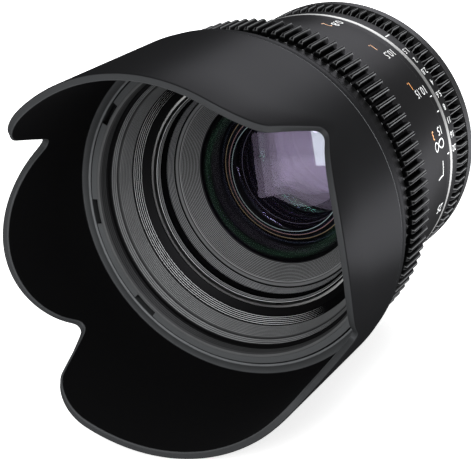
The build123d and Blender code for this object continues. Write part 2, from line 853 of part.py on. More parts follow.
def front_cell():
    """The cell of the front group, with its ribbed funnel in front of the glass."""
    outer = block_bore - seat_gap
    ring_2_bore = ring_2_radius + seat_gap
    ring_3_bore = ring_3_radius + seat_gap
    ring_2_front = element_2[2] + front_retainer_depth + turning_gap
    line = [
        (element_4[1] + front_ledge / 2, iris_base_front),
        (element_4[1] + front_ledge / 2, element_4[3]), (glass_3_bore, element_4[3]),
        (glass_3_bore, element_3[2]), (ring_3_bore, element_3[2]), (ring_3_bore, doublet_ledge),
        (glass_2_bore, doublet_ledge), (glass_2_bore, element_2[2]),
        (ring_2_bore, element_2[2]), (ring_2_bore, ring_2_front),
        (element_1[1] - turning_gap, ring_2_front), (element_1[1] - turning_gap, element_1[3]),
        (glass_1_bore, element_1[3]), (glass_1_bore, retainer_rear),
        (retainer_radius + seat_gap, retainer_rear), (retainer_radius + seat_gap, retainer_front)]
    line += ribs((funnel_rear_radius, retainer_front), (funnel_front_radius, block_front),
                 funnel_rib_count, -funnel_rib_depth)
    line += [(block_radius, block_front), (block_radius, block_front - block_rim),
             (outer, block_front - block_rim), (outer, iris_base_front)]
    return spin(line)


def front_retainer():
    """The ribbed cone ring that holds the front glass."""
    glass_edge = element_1[1] + seat_gap
    line = [(glass_edge, element_1[2]), (element_1[0], element_1[2]),
            (element_1[0], retainer_rear), (retainer_radius, retainer_rear),
            (retainer_radius, retainer_front),
            (retainer_radius - retainer_land, retainer_front)]
    line += ribs((retainer_radius - 2 * retainer_land, retainer_front - retainer_land),
                 (glass_edge, element_1[2] + retainer_land), cone_rib_count, cone_rib_depth)
    return spin(line)


def second_retainer():
    front = element_2[2] + front_retainer_depth
    return tube(element_2[1] + seat_gap, ring_2_radius, element_2[2], front)


def doublet_retainer():
    front = element_3[2] + doublet_retainer_depth
    return tube(element_3[1] + seat_gap, ring_3_radius, element_3[2], front)


def bulge(curve, reach):
    """How far a lens surface of a given radius rises between its centre and a radius."""
    if curve == 0:
        return 0
    rise = abs(curve) - sqrt(curve * curve - reach * reach)
    return rise if curve > 0 else -rise


def lens_surface(station, curve, clear):
    """The line of a lens surface from its centre to its edge."""
    centre = station + bulge(curve, clear)
    if curve == 0:
        return Line((0, -station), (clear, -station))
    middle = centre - bulge(curve, clear / 2)
    return ThreePointArc((0, -centre), (clear / 2, -middle), (clear, -station))


def lens_element(data):
    rim, clear, front, rear, front_curve, rear_curve = data
    outline = lens_surface(front, front_curve, clear)
    outline += Polyline((clear, -front), (rim, -front), (rim, -rear), (clear, -rear))
    outline += lens_surface(rear, rear_curve, clear)
    outline += Line((0, -rear - bulge(rear_curve, clear)), (0, -front - bulge(front_curve, clear)))
    return revolve(make_face(outline), Axis.Y)


# Rear group

rear_bore = element_5[0] + seat_gap
rear_flange_rear = rear_flange_front - rear_flange_thickness
lever_margin = degrees((lever_width / 2 + turning_gap) / lever_inner_radius)


def rear_cell():
    outer = block_bore - seat_gap
    lip = element_5[1] + seat_gap
    retainer_bore = rear_retainer_radius + seat_gap
    body = spin([
        (lip, rear_flange_front), (outer, rear_flange_front), (outer, rear_flange_rear),
        (rear_cell_radius, rear_flange_rear), (rear_cell_radius, rear_cell_end),
        (retainer_bore, rear_cell_end), (retainer_bore, element_9[3]),
        (rear_bore, element_9[3]), (rear_bore, element_5[2]), (lip, element_5[2])])
    body -= sector(lever_inner_radius - turning_gap, lever_outer_radius + turning_gap,
                   rear_flange_rear - cut_overrun, rear_flange_front + cut_overrun,
                   fork_angle - lever_margin, iris_throw + 2 * lever_margin)
    for index in range(cell_screw_count):
        body -= radial_rod(screw_radius, cell_screw_reach, outer + cut_overrun,
                           cell_screw_angle(index), cell_screw_station)
    return body


def rear_retainer():
    return tube(element_9[1] + seat_gap, rear_retainer_radius, rear_cell_end, element_9[3])


def rear_spacer(ahead, behind):
    """A spacer between two elements of the rear group."""
    return tube(element_5[1] + seat_gap, element_5[0], behind[2], ahead[3])


# Iris

# The blade's angle from open to closed follows from how far its arc must move in.
blade_swing = 2 * degrees(asin((iris_open_radius - iris_closed_radius) / (2 * blade_pivot_circle)))


def blade_pin(swing):
    """The drive pin's place (x outwards, y along the circle) at a blade angle."""
    angle = radians(-90.0 - blade_swing / 2 + swing)
    return (blade_pivot_circle + blade_pin_offset * cos(angle), blade_pin_offset * sin(angle))


def iris_base():
    body = tube(iris_open_radius + blade_tab_margin, block_bore - seat_gap, iris_base_rear,
                iris_base_front)
    for index in range(blade_count):
        body -= axial_rod(blade_pin_radius + running_gap, blade_pivot_circle,
                          index * 360.0 / blade_count, iris_base_rear - cut_overrun,
                          iris_base_rear + pivot_hole_depth + turning_gap)
    return body


def iris_spacer():
    return tube(drive_ring_radius + running_gap, block_bore - seat_gap, rear_flange_front,
                iris_base_rear)


def iris_drive_ring():
    """The ring that turns all the blades, with a cam groove for each and a lever."""
    rear = drive_ring_front - drive_ring_thickness
    body = tube(drive_ring_inner, drive_ring_radius, rear, drive_ring_front)
    half = blade_pin_radius + running_gap
    groove = []
    for step in range(drive_slot_steps + 1):
        share = step / drive_slot_steps
        x, y = blade_pin(blade_swing * share)
        radius, angle = hypot(x, y), degrees(atan2(y, x)) - iris_throw * share
        groove.append((radius, angle))
    floor = drive_ring_front - drive_slot_depth
    pieces = [axial_rod(half, radius, angle, floor, drive_ring_front + cut_overrun)
              for radius, angle in groove]
    for first, second in zip(groove, groove[1:]):
        a, b = place(first[0], first[1], 0), place(second[0], second[1], 0)
        length = hypot(b[0] - a[0], b[2] - a[2])
        lean = degrees(atan2(b[2] - a[2], b[0] - a[0]))
        depth = drive_slot_depth + cut_overrun
        block = Pos(length / 2, -(floor + depth / 2), 0) * Box(length, depth, 2 * half)
        pieces.append(Pos(a[0], 0, a[2]) * turn(block, lean))
    slot = fuse(pieces)
    for piece in ringed(blade_count, slot):
        body -= piece
    lever = radial_block(lever_inner_radius, lever_outer_radius, lever_width, lever_rear,
                         rear + seat_gap, fork_angle)
    return body + (lever & tube(0, lever_outer_radius, lever_rear, rear + seat_gap))


def iris_blade(index):
    """One blade in its own layer of the stack, with a pivot pin and a drive pin."""
    front = iris_base_rear - blade_gap - index * blade_pitch
    rear = front - blade_thickness
    outer = iris_open_radius + blade_band
    band = sector(iris_open_radius, outer, rear, front, blade_start, blade_reach - blade_start)
    tab_radius = blade_pin_radius + blade_tab_margin
    pin_x, pin_y = blade_pin(0)
    neck = blade_pivot_circle - outer + blade_tab_margin

    def disc(x, y, radius):
        return Pos(x, -rear, y) * (Plane(origin=(0, 0, 0), z_dir=(0, -1, 0)) * Cylinder(
            radius, blade_thickness, align=(Align.CENTER, Align.CENTER, Align.MIN)))

    def strip(x0, y0, x1, y1, width):
        length = hypot(x1 - x0, y1 - y0)
        block = Pos(length / 2, -(rear + front) / 2, 0) * Box(length, blade_thickness, width)
        return Pos(x0, 0, y0) * turn(block, degrees(atan2(y1 - y0, x1 - x0)))

    root_radius = outer - neck / 2
    root_angle = radians(blade_start) + neck / outer
    root = (root_radius * cos(root_angle), root_radius * sin(root_angle))
    body = fuse([band, disc(blade_pivot_circle, 0, tab_radius), disc(pin_x, pin_y, tab_radius),
                 strip(blade_pivot_circle, 0, pin_x, pin_y, 2 * tab_radius),
                 strip(blade_pivot_circle, 0, root[0], root[1], neck)])
    pivot = axial_rod(blade_pin_radius, blade_pivot_circle, 0, rear,
                      iris_base_rear + pivot_hole_depth)
    drive_floor = drive_ring_front - drive_slot_depth + blade_gap
    drive = axial_rod(blade_pin_radius, hypot(pin_x, pin_y), degrees(atan2(pin_y, pin_x)),
                      drive_floor, front)
    return turn(fuse([body, pivot, drive]), index * 360.0 / blade_count)


nodes = {
    "mount_plate": mount_plate,
    "mount_screws": mount_screws,
    "mount_index": mount_index,
    "rear_light_baffle": rear_light_baffle,
    "rear_housing": rear_housing,
    "iris_ring_barrel": iris_barrel,
    "iris_ring_gear": iris_gear,
    "iris_ring_fork": iris_fork,
    "accent_ring": accent_ring,
    "index_ring": index_ring,
    "index_screws": index_screws,
    "guide_sleeve": guide_sleeve,
    "focus_ring_barrel": focus_barrel,
    "focus_ring_gear": focus_gear,
    "focus_stop_pin": focus_stop_pin,
    "cam_ring": cam_ring,
    "cam_screws": cam_screws,
    "front_sleeve": front_sleeve,
    "hub_screws": hub_screws,
    "filter_ring": filter_ring,
    "front_baffle": front_baffle,
    "hood": hood,
    "block_tube": block_tube,
    "guide_pins": guide_pins,
    "cell_screws": cell_screws,
    "front_cell": front_cell,
    "front_retainer": front_retainer,
    "second_retainer": second_retainer,
    "doublet_retainer": doublet_retainer,
    "rear_cell": rear_cell,
    "rear_retainer": rear_retainer,
    "iris_base": iris_base,
    "iris_spacer": iris_spacer,
    "iris_drive_ring": iris_drive_ring,
}
for number, data in enumerate(elements, start=1):
    nodes[f"lens_element_{number}"] = lambda data=data: lens_element(data)
for ahead, behind in ((6, 7), (7, 8), (8, 9)):
    pair = elements[ahead - 1], elements[behind - 1]
    nodes[f"rear_spacer_{ahead}_{behind}"] = lambda pair=pair: rear_spacer(*pair)
for number in range(blade_count):
    nodes[f"iris_blade_{number + 1}"] = lambda number=number: iris_blade(number)

for name, make in nodes.items():
    shape = make()
    export_step(shape, f"parts/{name}.step")
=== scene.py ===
from math import acos, asin, cos, pi, radians, sin, sqrt, tan

import bmesh
import bpy
import numpy as np
from mathutils import Matrix, Vector


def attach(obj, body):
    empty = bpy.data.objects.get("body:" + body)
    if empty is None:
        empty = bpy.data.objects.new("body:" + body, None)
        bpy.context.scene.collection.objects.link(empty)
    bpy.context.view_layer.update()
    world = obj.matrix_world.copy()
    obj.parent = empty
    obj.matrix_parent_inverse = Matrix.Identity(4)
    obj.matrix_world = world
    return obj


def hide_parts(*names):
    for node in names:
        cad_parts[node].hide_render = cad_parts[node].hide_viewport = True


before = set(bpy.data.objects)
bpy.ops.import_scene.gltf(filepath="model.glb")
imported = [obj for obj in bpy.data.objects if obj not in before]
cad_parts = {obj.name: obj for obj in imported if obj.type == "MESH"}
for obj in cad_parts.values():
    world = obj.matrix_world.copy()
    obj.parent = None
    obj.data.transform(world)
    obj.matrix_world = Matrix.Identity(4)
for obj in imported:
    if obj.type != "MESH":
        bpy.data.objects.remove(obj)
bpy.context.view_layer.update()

# Cine prime lens. Sizes here are in millimetres, and become metres where a point is placed.
# The optical axis is Y, the mount flange face is at Y = 0 and the lens looks along -Y.
# A station is a distance in front of the flange. Angles run from +X towards +Z.

MM = 0.001
ROUND_STEPS = 240  # flat steps round a turned piece
SHARP_ANGLE = radians(32)  # faces that meet at more than this have a sharp edge
MERGE_REACH = 1e-7  # points nearer than this, in metres, become one


def place(radius, angle, station):
    """A point in metres, from its radius, its angle in radians and its station."""
    return (radius * cos(angle) * MM, -station * MM, radius * sin(angle) * MM)


def in_scene(name, data):
    """A new object in the scene, from a mesh, a curve, a lamp or a camera."""
    item = bpy.data.objects.new(name, data)
    bpy.context.scene.collection.objects.link(item)
    return item


def clamped(share):
    return min(1.0, max(0.0, share))


# Nodes, and arithmetic between their sockets

class Value:
    """A node's socket, with arithmetic that adds Math nodes."""

    def __init__(self, nodes, socket):
        self.nodes = nodes
        self.socket = socket

    def math(self, operation, first, second):
        return self.nodes.add("ShaderNodeMath", {0: first, 1: second}, operation=operation)

    def __add__(self, other):
        return self.math("ADD", self, other)

    def __radd__(self, other):
        return self.math("ADD", other, self)

    def __sub__(self, other):
        return self.math("SUBTRACT", self, other)

    def __rsub__(self, other):
        return self.math("SUBTRACT", other, self)

    def __mul__(self, other):
        return self.math("MULTIPLY", self, other)

    def __rmul__(self, other):
        return self.math("MULTIPLY", other, self)

    def __pow__(self, other):
        return self.math("POWER", self, other)


class Nodes:
    """A node tree that is filled one node at a time."""

    def __init__(self, tree):
        self.tree = tree
        tree.nodes.clear()

    def add(self, kind, inputs=None, output=0, **settings):
        """Adds a node: its settings first, then the values or links of its inputs."""
        node = self.tree.nodes.new(kind)
        for key, value in settings.items():
            setattr(node, key, value)
        for key, value in (inputs or {}).items():
            if isinstance(value, Value):
                self.tree.links.new(value.socket, node.inputs[key])
            else:
                node.inputs[key].default_value = value
        return Value(self, node.outputs[output]) if len(node.outputs) else None


SHEEN_TINT = (0.93, 0.93, 1.0, 1.0)


class Finish(Nodes):
    """The nodes of a procedural material, or of the studio's world."""

    def __init__(self, name, library=bpy.data.materials):
        self.owner = library.new(name)
        self.owner.use_nodes = True
        super().__init__(self.owner.node_tree)

    def spot(self):
        """The point on the piece, in metres."""
        return self.add("ShaderNodeTexCoord", output="Object")

    def split(self):
        """The radius and the station of the point, in millimetres."""
        spot = self.spot()
        x, y, z = (self.add("ShaderNodeSeparateXYZ", {0: spot}, output=axis)
                   for axis in "XYZ")
        return (x * x + z * z) ** 0.5 * (1 / MM), y * (-1 / MM)

    def noise(self, scale, detail=3.0, roughness=0.55):
        """Even noise from 0 to 1; the scale counts lumps in a millimetre."""
        return self.add("ShaderNodeTexNoise", {
            "Vector": self.spot(), "Scale": scale / MM, "Detail": detail,
            "Roughness": roughness}, noise_dimensions="3D")

    def turning(self, along, detail, roughness=0.5):
        """Noise along one value only, for the fine lines that a lathe leaves."""
        return self.add("ShaderNodeTexNoise", {
            "W": along, "Scale": 1.0, "Detail": detail, "Roughness": roughness},
            noise_dimensions="1D")

    def band(self, value, low, high):
        """0 below low and 1 above high, with a smooth step between them."""
        return self.add("ShaderNodeMapRange", {
            "Value": value, "From Min": low, "From Max": high},
            interpolation_type="SMOOTHSTEP")

    def tint(self, factor, first, second):
        """The first colour where the factor is 0, and the second where it is 1."""
        return self.add("ShaderNodeMix", {0: factor, 6: first, 7: second}, output=2,
                        data_type="RGBA")

    def edges(self, reach):
        """1 along sharp edges and 0 on flat faces, within a reach in millimetres."""
        soft = self.add("ShaderNodeBevel", {"Radius": reach * MM}, samples=6)
        face = self.add("ShaderNodeNewGeometry", output="Normal")
        agreement = self.add("ShaderNodeVectorMath", {0: soft, 1: face}, output="Value",
                             operation="DOT_PRODUCT")
        return self.band(1 - agreement, 0.004, 0.12)

    def relief(self, height, depth, strength):
        """Bumps from a height, where 1 stands for a depth in millimetres."""
        return self.add("ShaderNodeBump", {
            "Height": height, "Distance": depth * MM, "Strength": strength})

    def tone(self, name):
        """A value that the piece's own points carry."""
        return self.add("ShaderNodeAttribute", output="Fac", attribute_name=name)

    def surface(self, colour, roughness, normal, metallic=0.0, gloss=0.0):
        """The shader of an opaque finish. With gloss, a dull body under a faint even sheen."""
        inputs = {"Base Color": colour, "Roughness": roughness, "Normal": normal,
                  "Metallic": metallic}
        if gloss:
            inputs["Specular IOR Level"] = 0.0
        shader = self.add("ShaderNodeBsdfPrincipled", inputs)
        if gloss:
            sheen = self.mirror(SHEEN_TINT, roughness, Normal=normal)
            shader = self.mixed(gloss, shader, sheen)
        return self.end(shader)

    def mirror(self, colour, roughness, **inputs):
        return self.add("ShaderNodeBsdfGlossy", {
            "Color": colour, "Roughness": roughness, **inputs}, distribution="GGX")

    def mixed(self, share, first, second):
        """The first shader, with a share of the second."""
        return self.add("ShaderNodeMixShader", {0: share, 1: first, 2: second})

    def end(self, shader):
        """Closes a material with its shader, and gives the material."""
        self.add("ShaderNodeOutputMaterial", {"Surface": shader})
        return self.owner


# The finishes

COOL = -0.012


def grey(level, warmth=0.0):
    """A grey with its red raised and its blue lowered by a share, the warmth."""
    return (level * (1 + warmth), level, level * (1 - warmth), 1.0)


def coloured_black(name, base, rough, lathe_marks=0.25, edge_wear_and_highlight=0.09, gloss=0.012,
                   painted_highlight_from=None):
    """Black anodised metal: fine turning marks, small handling marks and lighter edges, partly
    wear and partly painted highlight.
    From the given front station on, the face is painted pale grey, a painted highlight."""
    finish = Finish(name)
    radius, station = finish.split()
    turned = finish.turning(station * 5.0 + radius * 4.0, 2.0)
    clouds = finish.noise(0.05, 4.0)
    grain = finish.noise(2.2, 2.0)
    handled = finish.band(finish.noise(0.35), 0.25, 0.75) * 0.5 + 0.5
    colour = finish.tint(clouds, grey(base * 0.86, COOL), grey(base * 1.16, COOL))
    if painted_highlight_from:
        # a painted highlight: the front face is painted pale grey
        face = finish.band(station, painted_highlight_from, painted_highlight_from + 0.1)
        colour = finish.tint(face * (clouds * 0.4 + 0.8), colour, grey(0.12, -0.04))
    # edges painted lighter: partly wear, partly painted highlight
    colour = finish.tint(finish.edges(0.12) * handled, colour, grey(base + edge_wear_and_highlight, -0.01))
    return finish.surface(
        colour, clouds * 0.10 + turned * 0.05 + (rough - 0.075),
        finish.relief(turned * lathe_marks + grain * 0.25, 0.02, 0.35), gloss=gloss)


def bare_metal(name, level, rough):
    """Bare turned metal, with its turning lines, a faint haze and lighter edges, partly wear
    and partly painted highlight.
    """
    finish = Finish(name)
    radius, station = finish.split()
    turned = finish.turning(station * 9.0 + radius * 9.0, 3.0, 0.7)
    haze = finish.noise(0.08, 4.0)
    colour = finish.tint(haze, grey(level * 0.88), grey(level * 1.06))
    # edges painted lighter: partly wear, partly painted highlight
    colour = finish.tint(finish.edges(0.08), colour, grey(level * 1.25))
    return finish.surface(colour, haze * 0.12 + turned * 0.10 + (rough - 0.1),
                          finish.relief(turned, 0.012, 0.5), metallic=1.0)


# the line tone is a painted highlight line
HOOD_TONES = ("lining", "rim", "line")


def hood_moulding():
    """The hood: fine satin grain outside, a greyer rim and lip, painted highlight lines on the
    base crease, the lip and the rim's inner edge, and dark flocking inside.
    """
    finish = Finish("hood satin and flocking")
    inside, rim, line = (finish.tone(name) for name in HOOD_TONES)
    grain = finish.noise(3.0, 2.0)
    clouds = finish.noise(0.03, 4.0)
    fibres = finish.noise(7.0, 2.0, 0.8)
    # painted highlight lines on the base crease, the lip and the rim's inner edge, made uneven
    # by noise
    painted_highlight_lines = line * (finish.noise(0.25) * 0.6 + 0.7)
    satin = finish.tint(clouds, grey(0.0035, -0.04), grey(0.0060, -0.04))
    satin = finish.tint(rim, satin, grey(0.042, -0.04))
    satin = finish.tint(painted_highlight_lines, satin, grey(0.20, -0.04))
    lining = finish.tint(fibres, grey(0.0006), grey(0.0018))
    return finish.surface(
        finish.tint(inside, satin, lining),
        (clouds * 0.08 + 0.34) * (1 - inside) + inside * 0.98,
        finish.relief(grain * (1 - inside) * 0.3 + fibres * inside * 2.5, 0.03, 0.45),
        gloss=0.009)


def ribbed_black(name, groove, crest, rough, gloss=0.010, fade=1.0):
    """Black of light traps and teeth: dull in the grooves and painted lighter on the crests, a
    painted highlight. The higher the fade, the nearer to a crest the painted highlight stays."""
    finish = Finish(name)
    clouds = finish.noise(0.10, 3.0)
    # crests painted lighter: a painted highlight
    crest_highlights = finish.tone("crest") ** fade * (clouds * 0.5 + 0.7)
    return finish.surface(
        finish.tint(crest_highlights, grey(groove), grey(crest, -0.02)),
        clouds * 0.12 + (rough - 0.06),
        finish.relief(finish.noise(3.0, 2.0), 0.008, 0.3), gloss=gloss)


def paint(name, colour, rough=0.5):
    """Printed or filled paint, a little uneven."""
    finish = Finish(name)
    patches = finish.noise(1.4, 3.0)
    darker = tuple(channel * 0.82 for channel in colour)
    return finish.surface(finish.tint(patches, darker + (1.0,), colour + (1.0,)),
                          patches * 0.15 + (rough - 0.07),
                          finish.relief(patches, 0.01, 0.3))


CLEAR_GLASS = (0.935, 0.944, 0.946, 1.0)  # what one face lets through


def coated_glass(name, tints, strength, front, reflection_rings):
    """Glass that lets light straight through and mirrors the lamps in its coating's tints.
    Rings of (radius, width, colour, strength), ahead of a front station, are painted
    reflections, mixed in as diffuse colour."""
    finish = Finish(name)
    clear = finish.add("ShaderNodeBsdfTransparent", {"Color": CLEAR_GLASS})
    first, second = (finish.mirror(tint + (1.0,), 0.0) for tint in tints)
    coating = finish.mixed(finish.noise(0.05, 2.0), first, second)
    facing = finish.add("ShaderNodeLayerWeight", {"Blend": 0.5}, output="Facing")
    shader = finish.mixed(facing ** 3.5 * 0.20 + strength, clear, coating)
    radius, station = finish.split()
    for middle, width, colour, level in reflection_rings:
        rising = finish.band(radius, middle - width, middle)
        falling = finish.band(radius, middle, middle + width * 0.6)
        near = (rising - falling) * finish.band(station, front, front + 0.1)
        # a painted reflection ring, mixed in as diffuse colour
        glow = finish.add("ShaderNodeBsdfDiffuse", {"Color": colour + (1.0,)})
        shader = finish.mixed(near * level, shader, glow)
    return finish.end(shader)


satin_black = coloured_black("satin black anodised", 0.006, 0.36, gloss=0.010)
# its front face is painted pale from station 74.4, a painted highlight
sleeve_black = coloured_black("front barrel black", 0.006, 0.40, painted_highlight_from=74.4)
ring_black = coloured_black("rear ring black", 0.016, 0.40, gloss=0.016)
# in the ribbed finishes below, the crest grey is a painted highlight
tooth_black = ribbed_black("gear tooth black", 0.0012, 0.15, 0.36, gloss=0.005, fade=14.0)
inner_black = coloured_black("inner black", 0.003, 0.55, edge_wear_and_highlight=0.05)
filter_black = ribbed_black("filter ring black", 0.002, 0.15, 0.42)
trap_black = ribbed_black("baffle matt black", 0.0015, 0.72, 0.50)
funnel_black = ribbed_black("funnel matt black", 0.0015, 0.80, 0.45)
cone_grey = ribbed_black("cone satin grey", 0.030, 0.36, 0.34, gloss=0.03)
hood_black = hood_moulding()
blade_black = coloured_black("iris blade black", 0.008, 0.42, lathe_marks=0.0, edge_wear_and_highlight=0.03)
light_baffle_black = coloured_black("rear baffle black", 0.008, 0.62)
bright_turned = bare_metal("bright turned ring", 0.12, 0.50)
mount_turned = bare_metal("mount turned steel", 0.34, 0.32)
machined = bare_metal("machined metal", 0.50, 0.36)
ground_pin = bare_metal("ground pin steel", 0.55, 0.26)
blackened = bare_metal("blackened screw steel", 0.12, 0.38)
white_print = paint("white print", (0.72, 0.73, 0.74))
orange_print = paint("orange print", (0.85, 0.34, 0.06))
red_fill = paint("red paint fill", (0.55, 0.02, 0.015), rough=0.35)


# The making of meshes

def piece_from(name, points, faces, finish, sharp=SHARP_ANGLE, tones=None):
    """A piece in metres, its doubles merged, its faces outwards and its edges set sharp.
    Tones are named values for each point, which a finish may read."""
    mesh = bpy.data.meshes.new(name)
    mesh.from_pydata(points, [], faces)
    for tone, values in (tones or {}).items():
        mesh.attributes.new(tone, "FLOAT", "POINT").data.foreach_set("value", values)
    tidy_mesh(mesh, sharp)
    mesh.materials.append(finish)
    return in_scene(name, mesh)


def tidy_mesh(mesh, sharp):
    """Merges doubles, turns faces outwards and shades smooth up to the sharp angle."""
    work = bmesh.new()
    work.from_mesh(mesh)
    bmesh.ops.remove_doubles(work, verts=work.verts, dist=MERGE_REACH)
    bmesh.ops.recalc_face_normals(work, faces=work.faces)
    work.to_mesh(mesh)
    work.free()
    mesh.polygons.foreach_set("use_smooth", [True] * len(mesh.polygons))
    mesh.set_sharp_from_angle(angle=sharp)


def joined(name, items):
    """Several pieces as one, with their finishes kept."""
    work = bmesh.new()
    finishes = []
    for item in items:
        start = len(work.faces)
        work.from_mesh(item.data)
        work.faces.ensure_lookup_table()
        for face in work.faces[start:]:
            finish = item.data.materials[face.material_index]
            if finish not in finishes:
                finishes.append(finish)
            face.material_index = finishes.index(finish)
    mesh = bpy.data.meshes.new(name)
    work.to_mesh(mesh)
    work.free()
    for finish in finishes:
        mesh.materials.append(finish)
    for item in items:
        bpy.data.objects.remove(item)
    return in_scene(name, mesh)


def grid_faces(rows, size, closed=True):
    """The faces between rows of points, each row a loop of one size. Where the grid is
    closed, the last row also meets the first."""
    faces = []
    for row in range(rows if closed else rows - 1):
        this, following = row * size, (row + 1) % rows * size
        for index in range(size):
            after = (index + 1) % size
            faces.append((this + index, this + after, following + after, following + index))
    return faces


NEARLY_STRAIGHT = radians(160)  # a flatter corner of an outline isn't rounded


def rounded(outline, size):
    """A closed outline of (radius, station) with its corners rounded by a size."""
    points = []
    for index, (r, s) in enumerate(outline):
        before, after = outline[index - 1], outline[(index + 1) % len(outline)]
        back = Vector((before[0] - r, before[1] - s))
        ahead = Vector((after[0] - r, after[1] - s))
        bend = back.angle(ahead)
        if bend > NEARLY_STRAIGHT:
            points.append((r, s))
            continue
        cut = min(size / tan(bend / 2), back.length * 0.4, ahead.length * 0.4)
        corner = Vector((r, s))
        start = corner + back.normalized() * cut
        end = corner + ahead.normalized() * cut
        for t in (0, 1 / 3, 2 / 3, 1):
            point = start * (1 - t) ** 2 + corner * (2 * t * (1 - t)) + end * t ** 2
            points.append((point.x, point.y))
    return points


def lathe(name, outline, finish):
    """A turned piece from a closed outline of (radius, station), or of (radius, station,
    crest), where crest is how much painted highlight a finish puts on that point."""
    points = [place(point[0], 2 * pi * turn / ROUND_STEPS, point[1])
              for turn in range(ROUND_STEPS) for point in outline]
    # the crest tone is how much painted highlight a finish puts there
    crest_highlights = [point[2] if len(point) > 2 else 0.0 for point in outline] * ROUND_STEPS
    return piece_from(name, points, grid_faces(ROUND_STEPS, len(outline)), finish,
                      tones={"crest": crest_highlights})


GROOVE_SHARE = 0.16  # the flat floor of a groove, as a share of the pitch
EASE_SHARE, EASE_HEIGHT = 0.02, 0.94  # the eased edge of a rib's crest


def rib_line(start, end, count, depth, land=0.34, bright=1.0, low=0.0):
    """A row of ribs with flat crests and narrow grooves, between two (radius, station)
    points. With a positive depth the grooves lie on that line. The land is a crest's share
    of the pitch, and bright and low are the painted highlight tones of crests and grooves."""
    run = Vector(end) - Vector(start)
    normal = Vector((-run.y, run.x)).normalized() * depth
    rise, fall = 0.5 - land / 2, 0.5 + land / 2
    parts = ((0.0, 0, low), (rise - EASE_SHARE, EASE_HEIGHT, low), (rise, 1, bright),
             (fall, 1, bright), (fall + EASE_SHARE, EASE_HEIGHT, low),
             (1 - GROOVE_SHARE, 0, low))
    points = []
    for index in range(count):
        for along, up, crest in parts:
            spot = Vector(start) + run * ((index + along) / count) + normal * up
            points.append((spot.x, spot.y, crest))
    points.append((end[0], end[1], 0.0))
    return points


# Rings of copies, with Geometry Nodes

COPIES_INPUTS = {"Core": "NodeSocketGeometry", "Copy": "NodeSocketObject",
                 "Count": "NodeSocketInt", "Step angle": "NodeSocketFloat",
                 "Finish": "NodeSocketMaterial"}


def ring_of_copies_tree():
    """Copies of one shape, turned about the optical axis by even steps, on a core. Also
    gives the identifiers of its inputs by their names."""
    tree = bpy.data.node_groups.new("ring of copies", "GeometryNodeTree")
    nodes = Nodes(tree)
    identifiers = {
        name: tree.interface.new_socket(name, in_out="INPUT", socket_type=kind).identifier
        for name, kind in COPIES_INPUTS.items()}
    tree.interface.new_socket("Ring", in_out="OUTPUT", socket_type="NodeSocketGeometry")
    given = {name: nodes.add("NodeGroupInput", output=name) for name in COPIES_INPUTS}
    turn = nodes.add("GeometryNodeInputIndex") * given["Step angle"] * -1.0
    euler = nodes.add("ShaderNodeCombineXYZ", {"Y": turn})
    copies = nodes.add("GeometryNodeInstanceOnPoints", {
        "Points": nodes.add("GeometryNodePoints", {"Count": given["Count"]}),
        "Instance": nodes.add("GeometryNodeObjectInfo", {"Object": given["Copy"]},
                              output="Geometry"),
        "Rotation": nodes.add("FunctionNodeEulerToRotation", {0: euler})})
    whole = nodes.add("GeometryNodeJoinGeometry", {0: copies})
    tree.links.new(given["Core"].socket, whole.socket.node.inputs[0])
    real = nodes.add("GeometryNodeRealizeInstances", {0: whole})
    coated = nodes.add("GeometryNodeSetMaterial", {
        "Geometry": real, "Material": given["Finish"]})
    nodes.add("NodeGroupOutput", {0: coated})
    return tree, identifiers


copies_tree, copies_identifiers = ring_of_copies_tree()


def with_copies(core, copy, count, finish):
    """The core with copies of a shape evenly round it, as one plain mesh."""
    modifier = core.modifiers.new("ring of copies", "NODES")
    modifier.node_group = copies_tree
    for name, value in (("Copy", copy), ("Count", count), ("Step angle", 2 * pi / count),
                        ("Finish", finish)):
        modifier[copies_identifiers[name]] = value
    graph = bpy.context.evaluated_depsgraph_get()
    mesh = bpy.data.meshes.new_from_object(core.evaluated_get(graph))
    core.modifiers.clear()
    core.data = mesh
    bpy.data.objects.remove(copy)
    return core


# What carries each piece

def fit(item, body, slot, *nodes):
    """Says what carries a piece and what it stands for. The slot, its finish, is not used."""
    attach(item, body)
    if nodes:
        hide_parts(*nodes)


def refinish(finish, *nodes):
    """Gives CAD nodes their finish."""
    for name in nodes:
        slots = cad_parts[name].data.materials
        slots.clear()
        slots.append(finish)


# The hood. Its petals mirror each other, so a quarter of its rim gives the rest.

BARREL_FRONT = 74.7  # station of the barrel's front end
HOOD_BASE, HOOD_LONG, HOOD_SHORT, HOOD_NOTCH = 71.5, 120.0, 108.6, 94.2  # stations
BASE_RADIUS, MOUTH_RADIUS = 46.285, 46.885  # outside, at the base and at long petals
MEAN_RADIUS = 46.6  # turns a length along the wall into an angle
WALL_THICKNESS, RIM_THINNING = 2.2, 0.42
THIN_FROM, THIN_RUN = 76.0, 14.0  # station where the wall starts to thin, and how long it does
NOTCH_HEIGHT, FLANK_FOOT_RADIUS = 26.4, 46.9  # where a long petal's flank ends
FLANK_LEAN, CORNER_ROUND = 5.9, 11.0  # its lean towards the petal's middle
ARCH_HALF = 24.3  # half the width of a short petal's arch
RIM_LEAN, FLANK_LEAN_RUN, ARCH_LEAN_RUN = 0.32, 20.0, 12.0  # how the rim's cut leans
TOP_STEPS, CORNER_STEPS, FLANK_STEPS, ARCH_STEPS, QUARTER_STEPS = 30, 24, 60, 70, 300
NOTCH_BLUR, NOTCH_REACH = 2.2, 4.0  # how softly and how far the notch is rounded
RIM_ROUND, RIM_STEPS = 0.42, 4
RIM_TONE = (0.0, 0.0, 0.0, 1.0, 1.0)  # outside, from the wall up to the rim's top
RIM_PAINTED_HIGHLIGHT = (0.12, 0.28, 0.22, 0.05, 0.0)  # painted highlight along the inside of the rim, from the wall up to the rim's top
WALL_FOOT, LINING_FOOT = 77.0, 75.1  # stations where the even walls start
